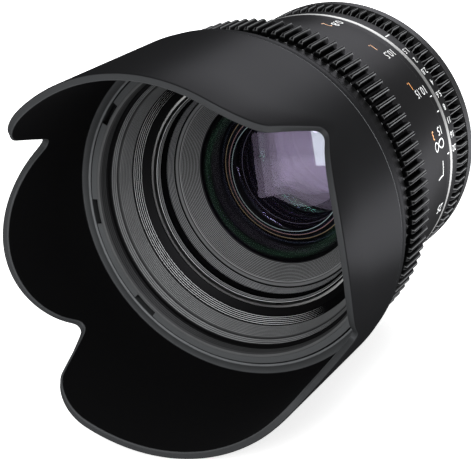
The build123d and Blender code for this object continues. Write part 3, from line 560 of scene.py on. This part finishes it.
LINING_TOP, LINING_EDGE = 0.50, 0.80  # how far below the rim the lining starts


def hood_outer(station):
    """The hood widens evenly from its base to its mouth."""
    share = (station - HOOD_BASE) / (HOOD_LONG - HOOD_BASE)
    return BASE_RADIUS + (MOUTH_RADIUS - BASE_RADIUS) * share


def hood_inner(station):
    """The wall thins a little above its base."""
    thinned = RIM_THINNING * np.clip((station - THIN_FROM) / THIN_RUN, 0, 1)
    return hood_outer(station) - WALL_THICKNESS + thinned


# The base outside and the lip inside, as radius, station and how strong a painted highlight
# line is there
BASE_ROWS = [(41.75, HOOD_BASE, 0.0), (43.9, HOOD_BASE, 0.0), (44.2, 71.7, 0.0),
             (45.2, 71.9, 0.0), (45.7, 72.3, 0.0), (46.0, 73.2, 0.0), (46.05, 73.9, 0.0),
             (46.19, 76.0, 0.0), (46.24, 76.06, 1.0), (46.33, 76.32, 0.8),
             (hood_outer(76.4), 76.4, 0.0)]
LIP_ROWS = [(43.95, BARREL_FRONT + 0.08, 0.30), (43.6, BARREL_FRONT, 0.22),
            (42.3, BARREL_FRONT, 0.05), (42.05, BARREL_FRONT, 0.8),
            (41.78, BARREL_FRONT - 0.2, 1.0), (41.7, BARREL_FRONT - 0.35, 0.3),
            (41.7, BARREL_FRONT - 0.5, 0.0), (41.7, 71.8, 0.0)]


def corner_arc(before, corner, after, radius, steps):
    """Points of a round of a radius in a corner of an outline."""
    back = (Vector(before) - Vector(corner)).normalized()
    ahead = (Vector(after) - Vector(corner)).normalized()
    half = back.angle(ahead) / 2
    centre = Vector(corner) + (back + ahead).normalized() * (radius / sin(half))
    start = Vector(corner) + back * (radius / tan(half)) - centre
    end = Vector(corner) + ahead * (radius / tan(half)) - centre
    turn = start.angle_signed(end)
    return [centre + Matrix.Rotation(-turn * step / steps, 2) @ start
            for step in range(steps + 1)]


def flank_line():
    """From the middle of a long petal round its corner and down its flank to the notch, as
    points of (x, station)."""
    foot = Vector((sqrt(FLANK_FOOT_RADIUS ** 2 - NOTCH_HEIGHT ** 2), HOOD_NOTCH))
    corner = (foot.x - FLANK_LEAN, HOOD_LONG)
    line = [Vector((x, HOOD_LONG))
            for x in np.linspace(0, corner[0] - CORNER_ROUND, TOP_STEPS)]
    line += corner_arc((0, HOOD_LONG), corner, foot, CORNER_ROUND, CORNER_STEPS)
    last = line[-1]
    return line + [last.lerp(foot, share) for share in np.linspace(0, 1, FLANK_STEPS)[1:]]


def leaning(outer, inner, share, station):
    """A row of the rim: outer angle, inner angle and station. At a share of 0 the cut is
    square to the wall, and at 1 it has the inner edge's own angle."""
    return (outer, outer + (inner - outer) * share, station)


def flank_rows():
    """The rim of a long petal, from its middle to the notch."""
    rows = []
    for x, station in flank_line():
        rise = clamped((station - HOOD_NOTCH) / FLANK_LEAN_RUN)
        share = rise * rise * (3 - 2 * rise) * RIM_LEAN
        inner = acos(min(1, x / hood_inner(station)))
        rows.append(leaning(acos(x / hood_outer(station)), inner, share, station))
    return rows


def arch_rows():
    """The rim of a short petal, from the notch to its middle."""
    rows = []
    rise = HOOD_SHORT - HOOD_NOTCH
    arch_radius = (ARCH_HALF ** 2 + rise ** 2) / (2 * rise)
    for z in np.linspace(ARCH_HALF, 0, ARCH_STEPS):
        station = HOOD_SHORT - arch_radius + sqrt(arch_radius ** 2 - z * z)
        share = clamped((ARCH_HALF - z) / ARCH_LEAN_RUN)
        rows.append(leaning(asin(z / hood_outer(station)), asin(z / hood_inner(station)),
                            share, station))
    return rows


def evenly_spaced(rows):
    """The same rim in even steps, and how far along it each row lies."""
    steps = np.hypot(np.diff(rows[:, 0]) * MEAN_RADIUS, np.diff(rows[:, 2]))
    along = np.concatenate([[0], np.cumsum(steps)])
    even = np.linspace(0, along[-1], QUARTER_STEPS)
    return np.stack([np.interp(even, along, column) for column in rows.T], 1), even


def quarter_rim():
    """The rim from the middle of a long petal to the middle of a short one, with the notch
    between them rounded."""
    rows, along = evenly_spaced(np.array(flank_rows() + arch_rows()))
    width = int(NOTCH_BLUR / along[1])
    window = np.exp(-0.5 * (np.arange(-2 * width, 2 * width + 1) / (width * 0.55)) ** 2)
    window /= window.sum()
    padded = np.pad(rows, ((2 * width, 2 * width), (0, 0)), mode="edge")
    soft = np.stack([np.convolve(column, window, "valid") for column in padded.T], 1)
    soft[:, 2] -= soft[:, 2].min() - HOOD_NOTCH
    lowest = along[np.argmin(rows[:, 2])]
    near = np.exp(-0.5 * ((along - lowest) / NOTCH_REACH) ** 2)[:, None]
    rim = rows * (1 - near) + soft * near
    rim[:, :2] = np.minimum.accumulate(rim[:, :2])
    rim[0, :2] = pi / 2
    rim[-1, :2] = 0
    return rim


def whole_rim():
    """The rim all the way round, from +X towards +Z."""
    quarter = quarter_rim()[::-1]
    mirrored = quarter[::-1][1:].copy()
    mirrored[:, :2] = pi - mirrored[:, :2]
    half = np.concatenate([quarter, mirrored])
    lower = half[::-1][1:-1].copy()
    lower[:, :2] = 2 * pi - lower[:, :2]
    return np.concatenate([half, lower])


def way_down(rim):
    """The way from the rim into the wall, square to the rim: an angle and a station for
    each millimetre."""
    ahead, behind = np.roll(rim, -1, 0), np.roll(rim, 1, 0)
    turn = (ahead[:, 0] - behind[:, 0] + pi) % (2 * pi) - pi
    along = np.stack([turn * MEAN_RADIUS, ahead[:, 2] - behind[:, 2]], 1)
    along /= np.linalg.norm(along, axis=1)[:, None]
    return along[:, 1] / MEAN_RADIUS, -along[:, 0]


def hood_rows(rim):
    """The shell's rows from its base up the outside, over the rim and down the lining to the
    lip. A row has a radius, an angle, a station and the tones lining, rim and painted highlight
    line."""
    outer, inner, top = rim.T
    aside, down = way_down(rim)
    rows = [(radius, outer, station, (0.0, 0.0, line)) for radius, station, line in BASE_ROWS]
    for share in (0.0, 0.33, 0.66):
        station = WALL_FOOT + (top - RIM_ROUND - WALL_FOOT) * share
        rows.append((hood_outer(station), outer, station, (0.0, 0.0, 0.0)))
    outside = [(hood_outer, outer, 1, step, (0.0, RIM_TONE[step], 0.0))
               for step in range(RIM_STEPS + 1)]
    inside = [(hood_inner, inner, -1, step, (0.0, 1.0, RIM_PAINTED_HIGHLIGHT[step]))
              for step in range(RIM_STEPS, -1, -1)]
    for wall, angle, side, step, tones in outside + inside:
        turn = pi / 2 * step / RIM_STEPS
        drop = RIM_ROUND * (1 - sin(turn))
        inset = RIM_ROUND * (1 - cos(turn)) * side
        station = top + down * drop
        rows.append((wall(station) - inset, angle + aside * drop, station, tones))
    station = top + down * LINING_TOP
    rows.append((hood_inner(station), inner + aside * LINING_TOP, station, (1.0, 0.0, 0.0)))
    for share in (0.66, 0.33, 0.0):
        station = LINING_FOOT + (top - LINING_EDGE - LINING_FOOT) * share
        rows.append((hood_inner(station), inner, station, (1.0, 0.0, 0.0)))
    return rows + [(radius, inner, station, (0.0, 1.0, line))
                   for radius, station, line in LIP_ROWS]


def hood_shell():
    """The moulded shell of the hood."""
    points, tones = [], []
    rows = hood_rows(whole_rim())
    for radius, angle, station, row_tones in rows:
        row = [place(*spot) for spot in np.broadcast(radius, angle, station)]
        points += row
        tones += [row_tones] * len(row)
    faces = grid_faces(len(rows), len(points) // len(rows))
    return piece_from("petal_hood", points, faces, hood_black, sharp=radians(40),
                      tones=dict(zip(HOOD_TONES, zip(*tones))))


LUG_INNER, LUG_OUTER, LUG_REAR, LUG_FRONT = 40.3, 41.8, 71.9, 73.1
LUG_SPAN, LUG_STEPS = radians(8), 6


def hood_lug(middle):
    """A lug of the hood's bayonet, a short slice of a tube round an angle in degrees."""
    section = ((LUG_INNER, LUG_REAR), (LUG_OUTER, LUG_REAR), (LUG_OUTER, LUG_FRONT),
               (LUG_INNER, LUG_FRONT))
    points = [place(radius, radians(middle) + LUG_SPAN * (step / LUG_STEPS - 0.5), station)
              for step in range(LUG_STEPS + 1) for radius, station in section]
    faces = grid_faces(LUG_STEPS + 1, len(section), closed=False)
    faces += [(0, 1, 2, 3), tuple(range(len(points) - len(section), len(points)))]
    return piece_from("lug", points, faces, hood_black)


hood_lugs = [hood_lug(angle) for angle in (50, 90, 130, 230, 270, 310)]
petal_hood = joined("petal_hood", [hood_shell()] + hood_lugs)
fit(petal_hood, "hood", "hood_plastic", "hood")


# The gear rings

MODULE = 0.8
ROOT_SHARE = 1.25  # depth of a tooth below the pitch circle, in modules
TOOTH_LEAN = tan(radians(20))
TIP_EASE, ROOT_SINK = 0.13, 0.25  # eased tip edges, and how far a tooth stands in its core
ROOT_GAP = 0.02  # from the root circle up to the bevels and down to the core
BEVEL_EASE, BEVEL_EASE_DEPTH, BEVEL_SHARE = 0.12, 0.03, 0.97  # the eased top of a bevel
CORE_EDGE = 0.1  # chamfer of a gear's core
# painted highlight lines along a tooth's two tip edges, dark between them
TOOTH_CREST_HIGHLIGHTS = [0.0, 1.0, 1.0, 0.0, 1.0, 1.0, 0.0]


def tooth_section(teeth, top, station):
    """A cut across one tooth at angle zero, seven points from one foot to the other."""
    pitch = MODULE * teeth / 2
    root = pitch - ROOT_SHARE * MODULE

    def half_width(radius):
        return MODULE * pi / 4 - (radius - pitch) * TOOTH_LEAN

    flank = [(root - ROOT_SINK, half_width(root)), (top - TIP_EASE, half_width(top - TIP_EASE)),
             (top, half_width(top) - TIP_EASE)]
    section = flank + [(top, 0.0)] + [(radius, -half) for radius, half in reversed(flank)]
    return [place(radius, half / radius, station) for radius, half in section]


def tooth_end(tip, depth, end, bevel, inward):
    """The tops and stations of three cuts at one end of a tooth, from the end inwards."""
    return [(tip - min(bevel, depth), end),
            (tip - BEVEL_EASE_DEPTH, end + inward * bevel * BEVEL_SHARE),
            (tip, end + inward * (bevel + BEVEL_EASE))]


def gear_tooth(teeth, rear, front, rear_bevel, front_bevel):
    """One tooth at angle zero, with bevelled ends and eased tip edges."""
    tip = MODULE * teeth / 2 + MODULE
    depth = MODULE * (1 + ROOT_SHARE) - ROOT_GAP
    cuts = tooth_end(tip, depth, rear, rear_bevel, 1)
    cuts += reversed(tooth_end(tip, depth, front, front_bevel, -1))
    points = [point for top, station in cuts for point in tooth_section(teeth, top, station)]
    around = len(TOOTH_CREST_HIGHLIGHTS)
    faces = [tuple(range(around)), tuple(range(len(points) - around, len(points)))]
    faces += grid_faces(len(cuts), around, closed=False)
    return piece_from("tooth", points, faces, tooth_black, sharp=radians(14),
                      tones={"crest": TOOTH_CREST_HIGHLIGHTS * len(cuts)})


def gear_ring(name, teeth, bore, rear, front, rear_bevel, front_bevel):
    """A gear of evenly spaced teeth on a turned core with painted highlight lines on its edges.
    """
    root = MODULE * teeth / 2 - ROOT_SHARE * MODULE
    floor = root - ROOT_GAP
    # the core's edges carry painted highlight lines
    core = lathe(name, [
        (bore, rear + CORE_EDGE), (bore + CORE_EDGE, rear), (root - 0.4, rear),
        (floor - CORE_EDGE, rear, 1.0), (floor, rear + CORE_EDGE, 1.0), (floor, rear + 0.5),
        (floor, front - 0.5), (floor, front - CORE_EDGE, 1.0), (floor - CORE_EDGE, front, 1.0),
        (root - 0.4, front), (bore + CORE_EDGE, front), (bore, front - CORE_EDGE)],
        tooth_black)
    tooth = gear_tooth(teeth, rear, front, rear_bevel, front_bevel)
    return with_copies(core, tooth, teeth, tooth_black)


CONE_REAR, CONE_FRONT = (38.3, 28.9), (41.6, 51.8)  # radius and station
IRIS_RADIUS, IRIS_BORE, IRIS_GEAR_FRONT = 37.6, 35.06, 15.5
INDEX_RADIUS = 38.1

focus_gear = gear_ring("focus_gear", teeth=108, bore=40.41, rear=CONE_FRONT[1], front=62.2,
                       rear_bevel=0.5, front_bevel=0.5)
fit(focus_gear, "focus_ring", "gear_black", "focus_ring_gear")
iris_gear = gear_ring("iris_gear", teeth=93, bore=IRIS_BORE, rear=8.3,
                      front=IRIS_GEAR_FRONT, rear_bevel=0.05, front_bevel=2.9)
fit(iris_gear, "iris_ring", "gear_black", "iris_ring_gear")


# Turned pieces outside, as outlines of (radius, station)

focus_barrel = lathe("focus_barrel", rounded([
    (35.3, 24.5), (38.3, 24.5), CONE_REAR, CONE_FRONT, (40.4, 51.8), (40.4, 61.7),
    (38.1, 61.7), (38.1, 46.0), (34.72, 46.0), (34.72, 44.2), (35.7, 42.4), (35.7, 26.1),
    (35.3, 26.1)], 0.18), satin_black)
fit(focus_barrel, "focus_ring", "black_anodised", "focus_ring_barrel")

iris_barrel = lathe("iris_barrel", rounded([
    (IRIS_BORE, IRIS_GEAR_FRONT), (IRIS_RADIUS, IRIS_GEAR_FRONT), (IRIS_RADIUS, 19.3),
    (37.3, 19.6), (IRIS_BORE, 19.6)], 0.1), satin_black)
fit(iris_barrel, "iris_ring", "black_anodised", "iris_ring_barrel")

bright_ring = lathe("bright_ring", rounded([
    (36.05, 19.9), (37.75, 19.9), (38.0, 20.1), (38.0, 21.65), (37.7, 21.9), (36.05, 21.9)],
    0.12), bright_turned)
fit(bright_ring, "barrel", "bright_ring", "accent_ring")


# Filter ring, baffle and funnels, as outlines of (radius, station, crest), the crest being how
# much painted highlight a point carries

THREAD_BORE, THREAD_PITCH, THREAD_DEPTH = 38.5, 0.75, 0.42


def thread_line(rear, front):
    """The profile of the filter ring's inside thread, seen as rings."""
    points, station = [], front
    while station - THREAD_PITCH > rear:
        points += [(THREAD_BORE, station - THREAD_PITCH * 0.08, 0.25),
                   (THREAD_BORE, station - THREAD_PITCH * 0.2),
                   (THREAD_BORE + THREAD_DEPTH, station - THREAD_PITCH * 0.52),
                   (THREAD_BORE + THREAD_DEPTH, station - THREAD_PITCH * 0.66)]
        station -= THREAD_PITCH
    return points


# the front face carries a painted highlight line
filter_line = [(THREAD_BORE, 71.12), (39.68, 71.12), (39.68, 74.6, 0.9),
               (39.6, BARREL_FRONT, 0.9), (39.0, BARREL_FRONT, 0.9), (38.9, 74.65, 0.3)]
filter_line += thread_line(71.3, 74.35)
filter_thread = lathe("filter_thread_ring", filter_line, filter_black)
fit(filter_thread, "barrel", "black_anodised", "filter_ring")

OUTER_POINT, WIDE_POINT, FINE_POINT = (36.82, 69.16), (35.07, 64.47), (33.04, 62.33)
baffle_line = [(39.65, 69.5), (39.65, 71.1), (37.75, 71.1), (37.6, 70.95)]
baffle_line += rib_line((37.6, 70.6), OUTER_POINT, 3, 0.26, land=0.62, bright=0.45, low=0.15)
baffle_line += rib_line((36.32, 68.66), WIDE_POINT, 8, 0.26, land=0.55, bright=0.50, low=0.18)
baffle_line += rib_line((34.82, 64.22), FINE_POINT, 5, 0.42, land=0.28, bright=1.1)
baffle_line += [(31.5, 60.9), (31.5, 60.4), (34.6, 60.4), (36.77, 64.47), (38.2, 69.5)]
ribbed_baffle = lathe("ribbed_baffle", baffle_line, trap_black)
fit(ribbed_baffle, "barrel", "baffle_plastic", "front_baffle")

cell_line = [
    (17.05, 31.4), (17.05, 32.3), (18.65, 32.3), (18.65, 38.2), (19.15, 38.2), (19.15, 39.0),
    (21.45, 39.0), (21.45, 41.8), (22.45, 41.8), (22.45, 43.7), (23.1, 43.7), (23.1, 45.0),
    (24.45, 45.0), (24.45, 48.4), (28.45, 48.4), (28.45, 53.0)]
cell_line += rib_line((28.9, 53.0), (30.15, 59.45), 12, 0.12, land=0.45, bright=0.5, low=0.02)
# a painted highlight line on the cell's front rim
cell_line += [(30.18, 59.56), (30.22, 59.64, 0.8), (30.32, 59.7, 0.8), (30.38, 59.66),
              (30.9, 58.9), (30.9, 58.5), (29.35, 58.5), (29.35, 31.4)]
front_cell = lathe("ribbed_front_cell", cell_line, funnel_black)
fit(front_cell, "optical_block", "black_anodised", "front_cell")

# a painted highlight along the retainer's front edge
retainer_line = [(23.45, 47.8), (24.4, 47.8), (24.4, 48.4), (28.4, 48.4), (28.4, 52.9),
                 (28.3, 53.0, 0.45), (27.6, 53.0, 0.45), (27.5, 52.9, 0.1), (27.42, 52.6),
                 (27.4, 52.5, 1.2), (27.3, 52.4, 0.9)]
retainer_line += rib_line((27.2, 52.3), (23.45, 48.4), 13, 0.13, bright=0.85)
front_retainer = lathe("ribbed_retainer", retainer_line, cone_grey)
fit(front_retainer, "optical_block", "black_anodised", "front_retainer")


# The glass

# Rim radius, clear radius, front edge, rear edge, front curve and rear curve, as in the part
GLASS = [
    (24.4, 23.4, 47.8, 45.0, 52.0, 120.0), (21.4, 20.4, 41.8, 39.0, 45.0, 70.0),
    (18.6, 17.6, 38.2, 36.7, 62.0, 0.0), (18.6, 16.6, 36.7, 32.3, 0.0, 40.0),
    (17.8, 16.8, 26.0, 21.2, -42.0, 0.0), (17.8, 16.8, 21.2, 19.0, 0.0, -48.0),
    (17.8, 16.8, 15.6, 13.8, -200.0, -56.0), (17.8, 16.8, 10.9, 9.3, -470.0, -80.0),
    (17.8, 16.8, 7.1, 5.3, -700.0, -160.0)]
GREEN, LILAC, TEAL = (0.25, 0.80, 0.40), (0.78, 0.52, 1.0), (0.50, 0.85, 0.85)
AMBER, PALE = (0.95, 0.90, 0.45), (0.90, 0.86, 1.0)
# Both tints of each coating, and the share of light that it mirrors head on
COATINGS = [
    (PALE, LILAC, 0.048), (LILAC, PALE, 0.056), (LILAC, LILAC, 0.030), (LILAC, PALE, 0.036),
    (GREEN, TEAL, 0.006), (LILAC, AMBER, 0.016), (TEAL, TEAL, 0.006), (LILAC, AMBER, 0.02),
    (TEAL, PALE, 0.02)]
# Painted reflection rings on the front of the first three elements: radius, width, colour and
# strength. The first is a painted dark green reflection near the first element's edge, and the
# others are painted coloured highlights.
PAINTED_REFLECTION_RINGS = {1: [(21.0, 2.4, (0.045, 0.105, 0.068), 0.30)],
          2: [(16.15, 0.20, (0.78, 0.97, 1.0), 1.0), (17.25, 0.16, (0.95, 0.52, 0.42), 1.0),
              (17.08, 0.08, (0.35, 0.50, 1.0), 0.5), (18.60, 0.16, (0.95, 0.66, 0.32), 0.9),
              (18.42, 0.08, (0.30, 0.50, 0.95), 0.4), (20.0, 0.10, (0.25, 0.42, 0.75), 0.35)],
          3: [(15.6, 0.12, (0.80, 0.72, 0.95), 0.6)]}
LENS_RINGS, LENS_STEPS, LENS_CHAMFER = 22, 128, 0.12


def bulge(curve, reach):
    """How far a lens surface rises between its centre and a radius."""
    if curve == 0:
        return 0.0
    rise = abs(curve) - sqrt(curve * curve - reach * reach)
    return rise if curve > 0 else -rise


def lens_line(rim, clear, front, rear, front_curve, rear_curve):
    """Half of a lens's outline, from its front pole round the rim to its rear pole."""
    radii = [clear * step / LENS_RINGS for step in range(LENS_RINGS + 1)]
    top = front + bulge(front_curve, clear)
    low = rear + bulge(rear_curve, clear)
    return ([(r, top - bulge(front_curve, r)) for r in radii]
            + [(rim - LENS_CHAMFER, front), (rim, front - LENS_CHAMFER),
               (rim, rear + LENS_CHAMFER), (rim - LENS_CHAMFER, rear)]
            + [(r, low - bulge(rear_curve, r)) for r in reversed(radii)])


def lens(name, line, finish):
    """A solid of glass with closed poles."""
    ring = line[1:-1]
    points = [place(0, 0, line[0][1]), place(0, 0, line[-1][1])]
    points += [place(r, 2 * pi * turn / LENS_STEPS, s)
               for turn in range(LENS_STEPS) for r, s in ring]
    faces = []
    for turn in range(LENS_STEPS):
        this = 2 + turn * len(ring)
        after = 2 + (turn + 1) % LENS_STEPS * len(ring)
        faces.append((0, this, after))
        faces.append((1, after + len(ring) - 1, this + len(ring) - 1))
        faces += [(this + index, this + index + 1, after + index + 1, after + index)
                  for index in range(len(ring) - 1)]
    return piece_from(name, points, faces, finish, sharp=radians(24))


for number, (sizes, (first, second, strength)) in enumerate(zip(GLASS, COATINGS), 1):
    finish = coated_glass(f"coated glass {number}", (first, second), strength,
                          front=sizes[2], reflection_rings=PAINTED_REFLECTION_RINGS.get(number, ()))
    item = lens(f"glass_{number}", lens_line(*sizes), finish)
    fit(item, "optical_block", "coated_glass", f"lens_element_{number}")


# Finishes of the CAD pieces

refinish(ring_black, "rear_housing")
refinish(satin_black, "index_ring")
refinish(sleeve_black, "front_sleeve")
refinish(mount_turned, "mount_plate")
refinish(light_baffle_black, "rear_light_baffle")
refinish(red_fill, "mount_index")
refinish(blackened, "mount_screws", "index_screws", "cam_screws", "hub_screws", "cell_screws")
refinish(machined, "guide_sleeve", "iris_ring_fork")
refinish(ground_pin, "guide_pins", "focus_stop_pin")
refinish(inner_black, "cam_ring", "block_tube", "second_retainer", "doublet_retainer",
         "rear_cell", "rear_retainer", "rear_spacer_6_7", "rear_spacer_7_8", "rear_spacer_8_9",
         "iris_base", "iris_spacer", "iris_drive_ring")
refinish(blade_black, *[f"iris_blade_{number}" for number in range(1, 10)])


# Printed scales

PRINT_LIFT = 0.02
FIGURE_SHARE = 0.7  # the height of a figure, as a share of its font's size


def letter(text, height):
    """A number as a flat mesh, its width along X and its height along Y, centred."""
    curve = bpy.data.curves.new("number", "FONT")
    curve.body = text
    curve.size = height / FIGURE_SHARE
    curve.align_x = curve.align_y = "CENTER"
    curve.resolution_u = 3
    item = in_scene("number", curve)
    graph = bpy.context.evaluated_depsgraph_get()
    mesh = bpy.data.meshes.new_from_object(item.evaluated_get(graph))
    bpy.data.objects.remove(item)
    points = [(vertex.co.x, vertex.co.y) for vertex in mesh.vertices]
    faces = [tuple(face.vertices) for face in mesh.polygons]
    middle = (min(p[1] for p in points) + max(p[1] for p in points)) / 2
    return [(u, v - middle) for u, v in points], faces


def dash(width, height):
    """A tick as a flat mesh."""
    u, v = width / 2, height / 2
    return [(-u, -v), (u, -v), (u, v), (-u, v)], [(0, 1, 2, 3)]


def ribbon(path, width):
    """A line of even width as a flat mesh, in short pieces that follow a round surface."""
    along = np.gradient(path, axis=0)
    along /= np.linalg.norm(along, axis=1)[:, None]
    side = np.stack([-along[:, 1], along[:, 0]], 1) * width / 2
    corners = np.concatenate([path + side, path - side]).tolist()
    count = len(path)
    return corners, [(i, i + 1, count + i + 1, count + i) for i in range(count - 1)]


def infinity_sign():
    """A thin sign for infinity, long across the dial."""
    turn = np.linspace(-pi / 2, 3 * pi / 2, 57)
    share = 1 + np.sin(turn) ** 2
    return ribbon(np.stack([np.cos(turn) / share * 3.5,
                            np.sin(turn) * np.cos(turn) / share * 3.3], 1), 0.36)


def infinity_stop():
    """The corner mark beside the infinity sign."""
    stem, stem_faces = ribbon(np.linspace((-2.1, -2.0), (-2.1, 2.1), 13), 0.34)
    arm, arm_faces = ribbon(np.linspace((-2.1, 2.0), (2.3, 2.0), 5), 0.34)
    arm_faces = [tuple(len(stem) + index for index in face) for face in arm_faces]
    return stem + arm, stem_faces + arm_faces


def printed(name, marks, radius_at, finish):
    """Flat marks wrapped on a turned surface. A mark is a shape, an angle in degrees and
    a station. It reads from the rear to the front, its top towards smaller angles."""
    points, faces = [], []
    for (shape, shape_faces), angle, station in marks:
        start = len(points)
        for u, v in shape:
            radius = radius_at(station + u) + PRINT_LIFT
            points.append(place(radius, radians(angle) - v / radius, station + u))
        faces += [tuple(start + index for index in face) for face in shape_faces]
    mesh = bpy.data.meshes.new(name)
    mesh.from_pydata(points, [], faces)
    mesh.materials.append(finish)
    for face in mesh.polygons:
        outward = Vector((face.center.x, 0, face.center.z))
        if face.normal.dot(outward) < 0:
            face.flip()
    return in_scene(name, mesh)


def focus_surface(station):
    """The radius of the focus barrel under its scales."""
    return np.interp(station, (CONE_REAR[1], CONE_FRONT[1]), (CONE_REAR[0], CONE_FRONT[0]))


IRIS_MARKS, WITNESS_MARKS = 17.4, 23.1  # stations
DASH_HEIGHT = 0.3

iris_marks = [(letter(text, 1.75), angle, IRIS_MARKS) for text, angle in (
    ("1.5", 43.2), ("2", 37.7), ("2.8", 32.0), ("4", 26.6), ("5.6", 21.0), ("8", 15.3),
    ("11", 9.6), ("16", 3.6), ("22", -2.2))]
iris_marks.append((dash(2.6, DASH_HEIGHT), 53.0, IRIS_MARKS))
fit(printed("iris_numbers", iris_marks, lambda station: IRIS_RADIUS, white_print),
    "iris_ring", "index_red")

focus_marks = [
    (letter("0.8", 2.4), 70.4, 26.4), (letter("10.5", 2.3), 45.3, 27.0),
    (letter("10.15", 2.4), 25.9, 27.6), (letter("15", 2.3), 8.9, 26.4),
    (infinity_sign(), 4.0, 29.2), (infinity_stop(), -6.0, 29.9),
    (letter("25", 2.6), -24.0, 26.4)]
fit(printed("focus_numbers", focus_marks, focus_surface, white_print),
    "focus_ring", "index_red")

feet_marks = [(letter("2", 2.8), 72.2, 30.4), (letter("1.", 2.4), 51.0, 31.0),
              (letter("1.", 2.4), 30.0, 31.6), (letter("3", 2.4), 8.9, 32.1)]
fit(printed("focus_numbers_orange", feet_marks, focus_surface, orange_print),
    "focus_ring", "index_red")

witness_marks = [(dash(1.2, DASH_HEIGHT), angle, WITNESS_MARKS)
                 for angle in (22.2, 15.6, -2.0)]
fit(printed("witness_marks", witness_marks, lambda station: INDEX_RADIUS, white_print),
    "barrel", "index_red")


# Camera and studio, in metres

CAMERA_SPOT = (0.207839, -0.42991, 0.115785)
CAMERA_RIGHT = Vector((0.87478, 0.45825, -0.1574))
CAMERA_UP = Vector((0.00129, 0.32264, 0.94652))
CAMERA_AHEAD = Vector((-0.48452, 0.8282, -0.28165))
WHITE, FLOOR_GREY = (1.0, 1.0, 1.0, 1.0), (0.9, 0.9, 0.9, 1.0)
AMBIENT = 0.35  # strength of the even light from all sides
FLOOR_GLOW = 0.75  # added to the floor where it is seen
FLOOR_LEVEL, FLOOR_REACH = -0.0475, 6


def photograph_camera():
    """The camera at the photograph's viewing angle."""
    data = bpy.data.cameras.new("photograph")
    data.lens = 130.506
    data.sensor_width = 36.0
    data.sensor_fit = "HORIZONTAL"
    data.clip_start, data.clip_end = 0.01, 50.0
    camera = in_scene("photograph", data)
    turned = Matrix((CAMERA_RIGHT, CAMERA_UP, -CAMERA_AHEAD)).transposed().to_4x4()
    camera.matrix_world = Matrix.Translation(CAMERA_SPOT) @ turned
    return camera


def panel(name, stands_at, looks_at, width, height, radiance):
    """A soft rectangular lamp, set by how bright it looks and unseen by the camera."""
    data = bpy.data.lights.new(name, "AREA")
    data.shape = "RECTANGLE"
    data.size, data.size_y = width, height
    data.energy = radiance * pi * width * height
    item = in_scene(name, data)
    item.location = stands_at
    way = Vector(looks_at) - Vector(stands_at)
    item.rotation_euler = way.to_track_quat("-Z", "Y").to_euler()
    item.visible_camera = False


def pale_light_paths(finish):
    """1 for what the camera sees directly, in a mirror or through glass."""
    direct, mirrored, through = (
        finish.add("ShaderNodeLightPath", output=kind)
        for kind in ("Is Camera Ray", "Is Glossy Ray", "Is Transmission Ray"))
    seen = direct + mirrored + through
    return seen.math("MINIMUM", seen, 1.0)


def studio_world():
    """Soft even light, and a white background where it is seen."""
    studio = Finish("studio", bpy.data.worlds)
    level = pale_light_paths(studio) * (1.0 - AMBIENT) + AMBIENT
    sky = studio.add("ShaderNodeBackground", {"Color": WHITE, "Strength": level})
    studio.add("ShaderNodeOutputWorld", {"Surface": sky})
    return studio.owner


def floor():
    """A pale floor, lifted towards white where it is seen, with the object's shadow kept."""
    finish = Finish("pale floor")
    cloth = finish.add("ShaderNodeBsdfDiffuse", {"Color": FLOOR_GREY})
    glow = finish.add("ShaderNodeEmission", {
        "Color": WHITE, "Strength": pale_light_paths(finish) * FLOOR_GLOW})
    mesh = bpy.data.meshes.new("floor")
    mesh.from_pydata([(x * FLOOR_REACH, y * FLOOR_REACH, FLOOR_LEVEL)
                      for x, y in ((-1, -1), (1, -1), (1, 1), (-1, 1))], [], [(0, 1, 2, 3)])
    mesh.materials.append(finish.end(finish.add("ShaderNodeAddShader", {0: cloth, 1: glow})))
    in_scene("floor", mesh)


bpy.context.scene.camera = photograph_camera()
panel("rear top softbox", (-0.01, 0.79, 0.50), (0.02, -0.06, 0.03), 0.58, 0.44, 12.0)
panel("low rear panel", (0.16, 0.13, -0.0455), (0.16, 0.13, 1.0), 0.20, 0.30, 9.0)
panel("front softbox", (0.25, -1.10, 0.55), (0, -0.08, 0), 0.42, 0.50, 11.0)
panel("front window", (0.75, -0.95, 0.30), (0, -0.08, 0), 0.34, 0.62, 3.6)
bpy.context.scene.world = studio_world()
floor()
bpy.context.scene.view_settings.view_transform = "Standard"
bpy.context.scene.cycles.transparent_max_bounces = 40  # light crosses 18 glass faces twice
